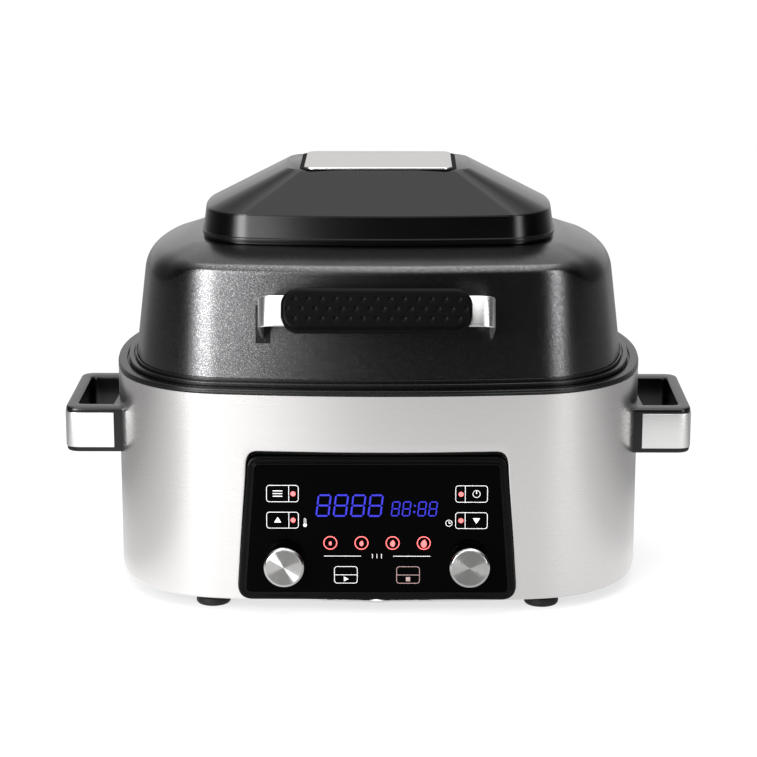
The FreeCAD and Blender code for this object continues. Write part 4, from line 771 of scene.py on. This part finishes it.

# steel plate on the cap: rolled edge, a shallow sunk face, and a matt black ring that it sits in, which paints
# the shade of the slot round the plate
plateSolid = Solid("top_plate")
plate = {"corner": 7.0, "footIn": 0.6, "footBend": 0.3, "roll": 0.9, "rimIn": 3.0, "rimDrop": 0.05,
         "sunkIn": 3.6, "sunk": 0.3, "flatIn": 5.0}
plateFace = plateSolid.top - plate["sunk"]
plateProfile = softened([
    (plate["footIn"], plateSolid.foot), (0, plateSolid.foot, plate["footBend"]),
    (0, plateSolid.top, plate["roll"]), (plate["rimIn"], plateSolid.top - plate["rimDrop"]),
    (plate["sunkIn"], plateFace), (plate["flatIn"], plateFace),
], False, 5)
plateLoop = roundedBox(plateSolid.halfWide, plateSolid.halfDeep, plate["corner"])
plateSheet = sweep(plateLoop, plateProfile, None, False, (True, True))
makePiece("plateSkin", [plateSheet], "lid", "bright_steel", ["top_plate"], finishes["plate_steel"])
# painted shade: a matt black ring, a dark sheet where the slot round the plate is in shade
seat = {"halfWide": 53.0, "halfDeep": 37.6, "corner": 8.0, "low": 286.2, "top": 286.95, "wide": 4.0,
        "bend": 0.35}
slotShadeProfile = softened([
    (0, seat["low"]), (0, seat["top"], seat["bend"]), (seat["wide"], seat["top"]), (seat["wide"], seat["low"]),
], True, 4)
slotShadeLoop = roundedBox(seat["halfWide"], seat["halfDeep"], seat["corner"])
slotShadeRing = sweep(slotShadeLoop, slotShadeProfile, None, True)
makePiece("plateSeat", [slotShadeRing], "lid", "cap_plastic", (), finishes["seat_black"])

# lid handle in its own tilted plane: U across, V along the strap's width, W outwards
strap = {"origin": (-98.761, 194.5), "tilt": 23.0, "reach": 46.4, "half": Solid("handle_strap").halfWide,
         "tall": 20.0, "thick": 2.0, "bend": 10.0, "tail": 10.0, "edge": 0.7}
tilt = math.radians(strap["tilt"])
strapPlace = ((0, strap["origin"][0] + middle, strap["origin"][1]), (1, 0, 0),
              (0, math.sin(tilt), math.cos(tilt)), (0, -math.cos(tilt), math.sin(tilt)))


def handleStrap():
    # rounded strip section carried along a bent line: line point + a * side normal, b across the width
    side, reach, bend = strap["half"] - strap["thick"] / 2, strap["reach"], strap["bend"]
    line = softened([(side, -strap["tail"]), (side, reach, bend), (-side, reach, bend),
                     (-side, -strap["tail"])], False, 14)
    tangent = np.gradient(line, axis=0)
    tangent /= np.linalg.norm(tangent, axis=1)[:, None]
    normal = np.c_[tangent[:, 1], -tangent[:, 0]]
    section = roundedBox(strap["thick"] / 2, strap["tall"] / 2, strap["edge"], steps=4)["base"]
    flat = line[:, None] + section[None, :, :1] * normal[:, None]
    points = np.dstack([flat[..., 0], np.tile(section[:, 1], (len(line), 1)), flat[..., 1]])
    skin = placed(points.reshape(-1, 3), strapPlace), tubeFaces(*points.shape[:2])
    makePiece("strapSkin", [skin], "lid", "bright_steel", ["handle_strap"])


handleStrap()
grip = {
    "half": Solid("handle_grip").halfWide, "tall": 28.2, "thick": 13.0, "end": 11.0, "edge": 3.5,
    "across": 300, "up": 72, "even": 0.6, "pitch": 8.75, "rowStep": 6.3, "perRow": 13,
    "dimple": 1.75, "dimpleDeep": 0.7, "dimpleCurve": 1.5, "sharp": 50,
}


def handleGrip():
    # two faces over one grid: height falls as a quarter circle within the edge radius of the outline,
    # less the dimples
    half, tall, end, edge = grip["half"], grip["tall"] / 2, grip["end"], grip["edge"]
    s, q = np.linspace(-1, 1, grip["across"]), np.linspace(-1, 1, grip["up"])
    s, q = mixed(s, np.sin(s * math.pi / 2), grip["even"]), np.sin(q * math.pi / 2)
    v = np.tile(q * tall, (len(s), 1))
    over = np.clip(np.abs(v) - (tall - end), 0, end)
    u = s[:, None] * (half - end + np.sqrt(end ** 2 - over ** 2))
    a, b = np.abs(u) - (half - end), np.abs(v) - (tall - end)
    inside = end - np.hypot(np.maximum(a, 0), np.maximum(b, 0)) - np.minimum(np.maximum(a, b), 0)
    drop = edge - np.sqrt(np.maximum(edge ** 2 - (edge - np.clip(inside, 0, edge)) ** 2, 0))
    pit = np.zeros_like(u)
    for row in (-1, 0, 1):
        count = grip["perRow"] + (row == 0)
        shift = 0.0 if count % 2 else 0.5
        near = np.round(u / grip["pitch"] - shift) + shift
        near = np.clip(near, -(count - 1) / 2, (count - 1) / 2) * grip["pitch"]
        far = np.hypot(u - near, v - row * grip["rowStep"]) / grip["dimple"]
        pit = np.maximum(pit, np.maximum(1 - far ** 2, 0) ** grip["dimpleCurve"])
    mid = strap["reach"]
    front = np.dstack([u, v, mid + grip["thick"] / 2 - drop - grip["dimpleDeep"] * pit])
    back = np.dstack([u, v, mid - grip["thick"] / 2 + drop])
    n, m = u.shape
    cells = gridFaces(n, m)
    size = n * m
    grid = np.arange(size).reshape(n, m)
    ring = np.r_[grid[:, 0], grid[-1, 1:], grid[:-1, -1][::-1], grid[0, 1:-1][::-1]]
    after = np.roll(ring, -1)
    cells += [[k + size for k in cell[::-1]] for cell in cells]
    cells += np.c_[ring, after, after + size, ring + size].tolist()
    points = placed(np.vstack([front.reshape(-1, 3), back.reshape(-1, 3)]), strapPlace)
    makePiece("gripSkin", [(points, cells)], "lid", "grip_rubber", ["handle_grip"], sharp=grip["sharp"])


handleGrip()
print("cap, plate, strap and grip done")

# control panel: frame, glass, printed and lit marks, knobs
rimWide, depth, sunk = panel["rim"], panel["depth"], panel["glassSunk"]
seam, seamDeep, lipIn, lipHigh = (panel[key] for key in ("seamAt", "seamDeep", "lipIn", "lipHigh"))
bezelProfile = softened([
    (0, -depth), (0, 0, panel["edge"]),
    (seam[0], 0.0, 0.3), (seam[1], -seamDeep), (seam[2], -seamDeep), (seam[3], 0.0, 0.2),
    (rimWide - lipIn[0], 0.0, 0.2), (rimWide - lipIn[1], lipHigh[0]), (rimWide, lipHigh[1]),
    (rimWide, -depth),
], True, 4)
bezelLoop = loopOf(panelLine(0.0, 81, 41, 8))
bezelRing = sweep(bezelLoop, bezelProfile, panelPlace, True)
makePiece("bezelSkin", [bezelRing], "base", "panel_plastic", ["control_bezel"])
glassEdge = rimWide + panel["glassGap"]
glassProfile = softened([
    (glassEdge, panel["glassFoot"]), (glassEdge, -sunk, 0.1), (rimWide + panel["glassFlat"], -sunk),
], False, 4)
glassSheet = sweep(bezelLoop, glassProfile, panelPlace, False, (True, True))
makePiece("glassSkin", [glassSheet], "base", "panel_glass", ["control_glass"])

# across and up are measured on the panel, from the middle of its foot
marks = {
    "rise": 0.08, "sink": 0.02, "line": 0.38, "corner": 2.0,
    "buttonAcross": (51.9, 73.3), "buttonUp": ((66.5, 78.0), (48.6, 59.8)), "split": 58.4,
    "lampAcross": 55.6, "lampUp": (72.1, 54.2), "lampRadius": 1.65, "iconAcross": 47.7, "iconUp": 52.4,
    "bigDigits": (-40.9, 5.1, 56.6, 71.8), "bigBar": 1.15, "bigGaps": (0.9, 1.4),
    "smallDigits": (8.9, 40.9, 57.0, 67.2), "smallBar": 0.8, "smallGaps": (0.7, 1.0),
    "slant": 0.12, "digitGap": 0.3, "colonWide": 3.0, "colonRadius": 0.7,
    "flameAcross": (-31.0, -10.3, 10.4, 31.1), "flameUp": 38.8, "flameRadius": 4.6, "flameLine": 0.6,
    "flameSizes": (1.5, 1.95, 2.4, 2.9), "flameDown": 0.2,
    "hair": 0.01,  # between a lamp ring's corner radius and its half width
    "ruleUp": 29.8, "rules": ((-35.3, -10.6), (10.8, 35.5)), "ticks": (-3.0, 0.0, 3.0), "tickHalf": 1.5,
    "keyAcross": (12.9, 28.5), "keyUp": (11.1, 22.8),
}
icons = {
    "barHalf": 3.2, "barLine": 0.3, "barSteps": (-1.8, 0, 1.8),
    "arrowHalf": 2.4, "arrowBase": 1.6, "arrowTip": 2.2,
    "dial": 2.6, "dialHand": 0.3, "dialUp": 1.8, "clock": 2.3, "clockHand": 0.25, "minute": 1.5, "hour": 1.2,
    "bulb": 1.2, "bulbDown": 1.6, "stemHalf": 0.75, "stemUp": (-1.0, 3.0), "stemCorner": 0.74,
    "stemLine": 0.35,
    "startBack": 1.3, "startTip": 1.9, "startUp": (1.3, 3.0, 4.7), "stopHalf": 1.4, "stopUp": (1.6, 4.4),
}
flame = {"narrow": 0.42, "point": 0.25, "wide": 0.68, "lean": 0.16, "tall": 0.95, "drop": 0.05}
# every mark is a thin slab on the glass, between these two heights
markLow = -sunk - marks["sink"]
markHigh = markLow + marks["rise"]


def frameMark(x0, x1, v0, v1, radius, line):
    loop = roundedBox((x1 - x0) / 2, (v1 - v0) / 2, radius, ((x0 + x1) / 2, (v0 + v1) / 2), 5)
    return sweep(loop, [(0, markLow), (0, markHigh), (line, markHigh), (line, markLow)], panelPlace, True)


def flatMark(points):
    return slab(points, markLow, markHigh, panelPlace)


def barMark(x0, x1, v0, v1):
    return flatMark([(x0, v0), (x1, v0), (x1, v1), (x0, v1)])


def ringMark(x, v, radius, line):
    return frameMark(x - radius, x + radius, v - radius, v + radius, radius, line)


def ruleMark(x0, x1, v):
    return barMark(x0, x1, v - marks["line"] / 2, v + marks["line"] / 2)


def tickMark(x, v0, v1):
    return barMark(x - marks["line"] / 2, x + marks["line"] / 2, v0, v1)


def discLine(x, v, radius, steps=28):
    t = np.linspace(0, 2 * math.pi, steps, endpoint=False)
    return np.c_[x + radius * np.cos(t), v + radius * np.sin(t)]


def digitMarks(x0, x1, v0, v1, bar):
    # seven six-cornered bars, leaning to the right with height
    gap = bar * marks["digitGap"]
    mid = (v0 + v1) / 2

    def flatBar(v):
        a, b, h = x0 + bar / 2 + gap, x1 - bar / 2 - gap, bar / 2
        return [(a, v), (a + h, v - h), (b - h, v - h), (b, v), (b - h, v + h), (a + h, v + h)]

    def tallBar(x, low, high):
        a, b, h = low + gap, high - gap, bar / 2
        return [(x, a), (x + h, a + h), (x + h, b - h), (x, b), (x - h, b - h), (x - h, a + h)]

    bars = [flatBar(v) for v in (v0 + bar / 2, mid, v1 - bar / 2)]
    bars += [tallBar(x, low, high) for x in (x0 + bar / 2, x1 - bar / 2)
             for low, high in ((v0 + bar / 2, mid), (mid, v1 - bar / 2))]
    return [flatMark([(x + (v - mid) * marks["slant"], v) for x, v in shape]) for shape in bars]


def flameLine(x, v, size):
    # drop whose point leans over: radius shrinks with height along a bent middle line
    t = np.linspace(0, 2 * math.pi, 26, endpoint=False)
    up = np.sin(t)
    tip = np.clip(up, 0, 1)
    wide = np.cos(t) * (1 - flame["narrow"] * tip ** 1.2 - flame["point"] * tip ** 4)
    side = flame["wide"] * wide + flame["lean"] * tip ** 2
    return np.c_[x + size * side, v + size * (up * flame["tall"] - flame["drop"])]


def buttonIcon(x, v, side, k):
    # bars, arrow up, dial, arrow down
    half, base, tip = icons["arrowHalf"], icons["arrowBase"], icons["arrowTip"]
    if side < 0 and k == 0:
        long, thick = icons["barHalf"], icons["barLine"]
        return [barMark(x - long, x + long, v + step - thick, v + step + thick) for step in icons["barSteps"]]
    if side < 0:
        return [flatMark([(x - half, v - base), (x + half, v - base), (x, v + tip)])]
    if k == 0:
        hand = icons["dialHand"]
        return [ringMark(x, v, icons["dial"], marks["line"]),
                barMark(x - hand, x + hand, v, v + icons["dialUp"])]
    return [flatMark([(x - half, v + base), (x, v - tip), (x + half, v + base)])]


def panelButtons():
    white, red = [], []
    line, (near, far) = marks["line"], marks["buttonAcross"]
    for side in (-1, 1):
        for k, (low, high) in enumerate(marks["buttonUp"]):
            x0, x1 = sorted((side * near, side * far))
            white.append(frameMark(x0, x1, low, high, marks["corner"], line))
            white.append(tickMark(side * marks["split"], low + line, high - line))
            lamp = discLine(side * marks["lampAcross"], marks["lampUp"][k], marks["lampRadius"])
            red.append(flatMark(lamp))
            white += buttonIcon(side * (marks["split"] + far) / 2, (low + high) / 2, side, k)
    # a clock on the right, a thermometer on the left
    x, v, hand, stem = marks["iconAcross"], marks["iconUp"], icons["clockHand"], icons["stemHalf"]
    white += [ringMark(x, v, icons["clock"], line), barMark(x - hand, x + hand, v, v + icons["minute"]),
              barMark(x, x + icons["hour"], v - hand, v + hand)]
    low, high = (v + step for step in icons["stemUp"])
    white += [flatMark(discLine(-x, v - icons["bulbDown"], icons["bulb"], 18)),
              frameMark(-x - stem, -x + stem, low, high, icons["stemCorner"], icons["stemLine"])]
    return white, red


def panelDigits():
    blue = []
    x0, x1, v0, v1 = marks["bigDigits"]
    before, after = marks["bigGaps"]
    step = (x1 - x0) / 4
    for k in range(4):
        blue += digitMarks(x0 + k * step + before, x0 + (k + 1) * step - after, v0, v1, marks["bigBar"])
    x0, x1, v0, v1 = marks["smallDigits"]
    before, after = marks["smallGaps"]
    gap = marks["colonWide"]
    step = (x1 - x0 - gap) / 4
    for k in range(4):
        left = x0 + k * step + (gap if k > 1 else 0)
        blue += digitMarks(left + before, left + step - after, v0, v1, marks["smallBar"])
    for v in (v0 + gap, v1 - gap):
        x = (x0 + x1) / 2 + (v - (v0 + v1) / 2) * marks["slant"]
        blue.append(flatMark(discLine(x, v, marks["colonRadius"], 14)))
    return blue


def panelKeys():
    # two keys, each with a rule across its middle and an icon below it
    line, (x0, x1), (v0, v1) = marks["line"], marks["keyAcross"], marks["keyUp"]
    split, mid = (v0 + v1) / 2, (x0 + x1) / 2
    start, stop = ([frameMark(a, b, v0, v1, marks["corner"], line), ruleMark(a + line, b - line, split)]
                   for a, b in ((-x1, -x0), (x0, x1)))
    back, tip, half = icons["startBack"], icons["startTip"], icons["stopHalf"]
    arrow = zip((-back, tip, -back), icons["startUp"])
    start.append(flatMark([(across - mid, v0 + up) for across, up in arrow]))
    stop.append(barMark(mid - half, mid + half, *(v0 + up for up in icons["stopUp"])))
    return start, stop


def panelMarks():
    white, red = panelButtons()
    radius, up = marks["flameRadius"], marks["flameUp"]
    for x, size in zip(marks["flameAcross"], marks["flameSizes"]):
        box = (x - radius, x + radius, up - radius, up + radius)
        red.append(frameMark(*box, radius - marks["hair"], marks["flameLine"]))
        red.append(flatMark(flameLine(x, up - marks["flameDown"], size)))
    rule, half = marks["ruleUp"], marks["tickHalf"]
    white += [ruleMark(x0, x1, rule) for x0, x1 in marks["rules"]]
    white += [tickMark(x, rule - half, rule + half) for x in marks["ticks"]]
    start, stop = panelKeys()
    rows = {"whiteMarks": (white + start, "white_print"), "dimMarks": (stop, "dim_print"),
            "digitMarks": (panelDigits(), "blue_digits"), "lampMarks": (red, "red_lamps")}
    for name, (parts, finish) in rows.items():
        makePiece(name, parts, "base", "panel_glass", (), finishes[finish])


panelMarks()

# knobs: skirt, straight side, chamfer and a finely turned face
knobSolid = Solid("right_knob")
knob = {"across": knobSolid.across, "up": 25.2, "radius": knobSolid.halfWide, "low": 0.9, "high": 14.0,
        "footIn": 1.5, "skirtIn": 0.3, "skirt": (2.2, 2.6), "bend": 0.2, "chamfer": 1.2, "topBend": 0.25,
        "flatIn": 0.5, "faceGap": 0.1, "groove": 0.5, "slope": 11.0, "eye": 0.2, "sharp": 9}


def knobSkins():
    # turned body; the face is a saw-tooth of fine rings about the axis
    r, low, high, cut = knob["radius"], knob["low"], knob["high"], knob["chamfer"]
    flat = r - cut - knob["flatIn"]
    rings = np.arange(flat, knob["eye"], -knob["groove"] / 2)
    tooth = knob["groove"] / 2 * math.tan(math.radians(knob["slope"]))
    face = np.c_[rings, high - np.where(np.arange(len(rings)) % 2 == 1, tooth, 0.0)]
    bend, top, skirt, (step, wide) = knob["bend"], knob["topBend"], r - knob["skirtIn"], knob["skirt"]
    body = softened([
        (r - knob["footIn"], low), (skirt, low, bend), (skirt, low + step, bend), (r, low + wide, bend),
        (r, high - cut, top), (r - cut, high, top), (flat + knob["faceGap"], high),
    ], False, 3)
    profile = np.vstack([[(0, low)], body, face, [(0, high)]])
    corner, across, up = (np.array(row) for row in panelPlace[:3])
    for side, name in ((-1, "left"), (1, "right")):
        origin = corner + side * knob["across"] * across + knob["up"] * up
        skin = lathe(profile, (tuple(origin), *panelPlace[1:]), 96)
        makePiece(name + "KnobSkin", [skin], name + "_knob_set", "knob_steel", [name + "_knob"],
                  sharp=knob["sharp"])


knobSkins()
print("panel done")

# side handles: the section between an inner and an outer line, both bent round the same two corners
handleSolid, trimSolid = Solid("right_handle"), Solid("right_handle_trim")
grab = {
    "reach": handleSolid.right, "halfDeep": handleSolid.halfDeep,
    "low": handleSolid.foot, "high": handleSolid.top,
    "bar": 8.5, "arm": 12.0, "root": 172.0, "outer": 10.0, "inner": 5.0, "edge": 2.2, "underTrim": 0.5,
    "trimFrom": trimSolid.left, "trimLow": trimSolid.foot, "trimHigh": trimSolid.top,
    "trimThick": 0.7, "trimBend": 9.5, "trimEdge": 0.3,
    "plate": 181.3, "flare": 1.2, "flareRun": 40.0, "plateEnds": (-48.7, -9.0), "plateIn": 1.0,
    "wallGap": 0.4, "wallRun": 70.0,
}


def grabLine(start, reach, deep, corner, steps=10, armSteps=8, barSteps=14):
    # out, along and back with two bends; the straight runs are divided
    corners = [(start, -deep), (reach, -deep, corner), (reach, deep, corner), (start, deep)]
    spots = softened(corners, False, steps)
    turn = steps + 2
    firstRun = np.linspace(spots[0], spots[1], armSteps)[1:-1]
    middleRun = np.linspace(spots[turn - 1], spots[turn], barSteps)[1:-1]
    lastRun = np.linspace(spots[-2], spots[-1], armSteps)[1:-1]
    return np.vstack([spots[:1], firstRun, spots[1:turn], middleRun, spots[turn:-1], lastRun, spots[-1:]])


def bandBetween(inner, outer, low, high, edge):
    # section of rounded corners, its width the gap between the two lines at each point
    across = outer - inner
    width = np.linalg.norm(across, axis=1)
    across /= width[:, None]
    tall = high - low
    section = np.stack([softened([(0, 0, edge), (w, 0, edge), (w, tall, edge), (0, tall, edge)], True, 5)
                        for w in width])
    flat = inner[:, None] + section[..., :1] * across[:, None]
    points = np.dstack([flat, section[..., 1] + low])
    return points.reshape(-1, 3), tubeFaces(*points.shape[:2])


def rootPlate():
    # half of the plate on the wall, as a flat outline: along the wall, back along a bowed edge
    ys = np.linspace(*grab["plateEnds"], 20)
    right = outline["base"]
    right = right[(right[:, 0] > 0) & (np.abs(right[:, 1]) < grab["wallRun"])]
    right = right[np.argsort(right[:, 1])]
    xs = np.interp(ys, right[:, 1], right[:, 0]) - grab["wallGap"]
    edge = grab["plate"] + grab["flare"] * (ys / grab["flareRun"]) ** 2
    line = np.vstack([np.c_[xs, ys], np.c_[edge, ys][::-1]])
    place = ((0, 0, 0), (1, 0, 0), (0, 1, 0), (0, 0, 1))
    return slab(line, grab["low"] + grab["plateIn"], grab["high"] - grab["plateIn"], place)


def sideHandles():
    reach, deep, start, thick = grab["reach"], grab["halfDeep"], grab["trimFrom"], grab["trimThick"]
    outer = grabLine(grab["root"], reach - grab["underTrim"], deep - grab["underTrim"], grab["outer"])
    inner = grabLine(grab["root"], reach - grab["bar"], deep - grab["arm"], grab["inner"])
    loop = bandBetween(inner, outer, grab["low"], grab["high"], grab["edge"])
    trimIn = grabLine(start, reach - thick, deep - thick, grab["trimBend"])
    trimOut = grabLine(start, reach, deep, grab["outer"])
    trim = bandBetween(trimIn, trimOut, grab["trimLow"], grab["trimHigh"], grab["trimEdge"])
    plates = rootPlate()

    def turned(part, side, end=1):
        return placed(part[0] * [side, end, 1], None), part[1]

    for side, name in ((-1, "left"), (1, "right")):
        parts = [turned(loop, side), turned(plates, side), turned(plates, side, -1)]
        makePiece(name + "HandleSkin", parts, "base", "handle_plastic", [name + "_handle"])
        makePiece(name + "TrimSkin", [turned(trim, side)], "base", "bright_steel", [name + "_handle_trim"])


sideHandles()

# feet: dished sole, swelling side, and a neck as wide as the tray's seat, up into the tray
footSolid = Solid("foot_front_right")
foot = {"seat": 9.5, "top": 12.3, "dish": 0.6, "dishRadius": 5.0, "swell": 1.8, "bend": 0.8, "topBend": 0.9,
        "seatBend": 0.3, "taper": 0.6}
footProfile = softened([
    (0, foot["dish"]), (foot["dishRadius"], foot["dish"]), (foot["dishRadius"] + foot["dish"], 0.0),
    (footSolid.halfWide - foot["bend"], 0.0, foot["bend"]), (footSolid.halfWide, foot["swell"], foot["bend"]),
    (footSolid.halfWide - foot["taper"], footSolid.top, foot["topBend"]),
    (foot["seat"], footSolid.top, foot["seatBend"]), (foot["seat"] - foot["taper"], foot["top"]),
    (0, foot["top"]),
], False, 4)
for end, endName in ((-1, "front"), (1, "rear")):
    for side, sideName in ((-1, "left"), (1, "right")):
        origin = (side * footSolid.across, middle - end * footSolid.along, 0)
        skin = lathe(footProfile, (origin, (1, 0, 0), (0, 1, 0), (0, 0, 1)), 48)
        name = f"{endName}{sideName.title()}FootSkin"
        makePiece(name, [skin], "base", "foot_rubber", [f"foot_{endName}_{sideName}"])
print("handles and feet done")

# solids whose shape is right: smooth copies where they show, a finish for the rest
for node in ("left_strap_collar", "right_strap_collar"):
    smoothCopy(node, finishes["lid_paint"])
copied = ["cap_neck", "lid_liner", "lid_seal", "inner_pot", "grill_plate", "inner_liner",
          "fan_guard", "heating_element", "circulation_fan", "cord_gland", "base_tray", "hinge_pins"]
for node in copied:
    smoothCopy(node)
for node, solid in frame["nodes"].items():
    slotName = solid.data.materials[0].name.split(".")[0] if solid.data.materials else "tray_plastic"
    solid.data.materials.clear()
    solid.data.materials.append(finishes.get(slotName, finishes["tray_plastic"]))
print("solids dressed:", len(frame["nodes"]))

# studio: pale floor that fades to plain white, with a painted reflection that only glossy rays see, soft
# boxes, dark room in front
studio = {
    "floor": 6.0, "floorTone": 0.86, "floorRough": 0.7, "fadeFrom": 0.35, "fadeTo": 1.0, "keep": 0.7,
    # painted reflection: the floor as polished sides mirror it, by bearing from a spot behind the body
    "pivot": 0.35, "nearest": 0.05, "level": 0.9, "edges": (0.6, 1.8), "edgeKeep": 0.45, "dusk": (-1.3, -0.8),
    "cards": ({"centre": -0.32, "half": 0.28, "gain": 0.5}, {"centre": 0.5, "half": 0.25, "gain": 0.15}),
    # the room, by the direction's parts: up, back and across
    "skyFrom": 0.46, "skyTo": 0.56, "frontDark": 0.01, "frontSky": 1.15,
    "highFrom": 0.66, "highTo": 0.82, "highSky": 1.9,
    "backFrom": 0.3, "backTo": 0.6, "backLight": 0.85, "backHigh": 0.95, "turn": (-0.1, 0.7),
    "sideSpan": (0.25, 0.7), "sideDim": 0.68,
    # soft boxes with a bright middle: name, place, size, watts
    "aim": (0.0, 0.0, 0.15),
    "lamps": (("leftBox", (-1.14, -1.63, 0.7), (0.6, 1.3), 33.0),
              ("leftWide", (-1.12, -1.7, 0.7), (1.38, 1.4), 37.5),
              ("rightBox", (1.41, -1.41, 0.65), (0.3, 1.2), 6.5),
              ("rightWide", (1.45, -1.45, 0.65), (0.65, 1.25), 7.5),
              ("topBox", (0.0, 0.35, 1.9), (1.7, 1.2), 13.0)),
}


def studioFloor():
    mesh = bpy.data.meshes.new("floor")
    half = studio["floor"]
    corners = [(-half, -half, 0), (half, -half, 0), (half, half, 0), (-half, half, 0)]
    mesh.from_pydata(corners, [], [(0, 1, 2, 3)])
    floor = bpy.data.objects.new("floor", mesh)
    bpy.context.scene.collection.objects.link(floor)
    tone = studio["floorTone"]
    board = newFinish("floorWhite", Base_Color=rgb(tone, tone, tone), Roughness=studio["floorRough"])
    place = board.objectPlace()
    away = board.node("ShaderNodeVectorMath", {"operation": "LENGTH"}, {0: place}, 1)
    across, along = (board.node("ShaderNodeSeparateXYZ", None, {0: place}, k) for k in (0, 1))
    camera, glossy = (board.node("ShaderNodeLightPath", None, None, k) for k in (0, 3))
    fade = board.ramp(away, studio["fadeFrom"], studio["fadeTo"], studio["keep"], 1.0)
    bearing = across / (studio["pivot"] - along).atLeast(studio["nearest"])
    sheen = studio["level"]
    for glintPatch in studio["cards"]:  # a painted highlight patch in the floor's reflection: gain (1 - offset squared)
        off = (bearing - glintPatch["centre"]) / glintPatch["half"]
        sheen = (1 - off * off).atLeast(0) * glintPatch["gain"] + sheen
    # painted shade in the reflection: dimmer to both sides and far ahead
    sheen = sheen * board.ramp(abs(bearing), *studio["edges"], 1.0, studio["edgeKeep"])
    sheen = sheen * board.ramp(along, *studio["dusk"])
    # for camera rays this glow is plain white; glossy rays see only the painted reflection
    white = board.node("ShaderNodeEmission", None, {"Color": camera + glossy * sheen, "Strength": 1.0})
    skin = Wire(board, board.skin.outputs[0])
    surface = board.node("ShaderNodeMixShader", None, {0: camera * fade + glossy, 1: skin, 2: white})
    board.feed(board.tree.nodes["Material Output"].inputs["Surface"], surface)
    mesh.materials.append(board.material)


def studioWorld():
    # dark ahead and low, light overhead and behind, dimmer to both sides; plain white to the camera
    world = bpy.data.worlds.new("studio")
    bpy.context.scene.world = world
    world.use_nodes = True
    board = Board(world.node_tree)
    place = board.node("ShaderNodeTexCoord", output=0)
    across, ahead, above = (board.node("ShaderNodeSeparateXYZ", None, {0: place}, k) for k in range(3))
    front = board.ramp(above, studio["skyFrom"], studio["skyTo"], studio["frontDark"], studio["frontSky"])
    front = front + board.ramp(above, studio["highFrom"], studio["highTo"], 0.0, studio["highSky"])
    back = board.ramp(above, studio["backFrom"], studio["backTo"], studio["backLight"], studio["backHigh"])
    sides = 1 - board.ramp(abs(across), *studio["sideSpan"], 0.0, studio["sideDim"])
    light = (front + (back - front) * board.ramp(ahead, *studio["turn"])) * sides
    room, plain = (board.node("ShaderNodeBackground", None, {"Color": tone, "Strength": 1.0})
                   for tone in (light, rgb(1, 1, 1)))
    camera = board.node("ShaderNodeLightPath")
    surface = board.node("ShaderNodeMixShader", None, {0: camera, 1: room, 2: plain})
    board.feed(board.tree.nodes["World Output"].inputs["Surface"], surface)


def studioLamps():
    # each box is turned to look at the aim
    for name, spot, size, power in studio["lamps"]:
        lamp = bpy.data.lights.new(name, "AREA")
        lamp.shape, lamp.size, lamp.size_y, lamp.energy = "RECTANGLE", size[0], size[1], power
        holder = bpy.data.objects.new(name, lamp)
        bpy.context.scene.collection.objects.link(holder)
        aim = np.array(studio["aim"]) - np.array(spot)
        holder.location = spot
        flat = math.hypot(aim[0], aim[1])
        holder.rotation_euler = (math.atan2(flat, -aim[2]), 0, math.atan2(-aim[0], aim[1]))


studioFloor()
studioWorld()
studioLamps()
view = {"focal": 2400.0, "frame": 757.0, "sensor": 36.0, "back": 1635.8, "height": 544.52, "pitch": 14.13,
        "yaw": 0.5, "clip": (0.05, 30.0)}  # focal length in pixels of the frame, places in mm
camera = bpy.data.cameras.new("camera")
camera.sensor_width = view["sensor"]
camera.lens = view["focal"] / view["frame"] * view["sensor"]
camera.clip_start, camera.clip_end = view["clip"]
stand = bpy.data.objects.new("camera", camera)
bpy.context.scene.collection.objects.link(stand)
swing = math.radians(view["yaw"])
standX, standY = view["back"] * math.sin(swing), middle - view["back"] * math.cos(swing)
stand.location = (standX * mm, standY * mm, view["height"] * mm)
stand.rotation_euler = (math.radians(90 - view["pitch"]), 0, swing)
bpy.context.scene.camera = stand
bpy.context.scene.view_settings.view_transform = "Standard"
print("studio and camera done")
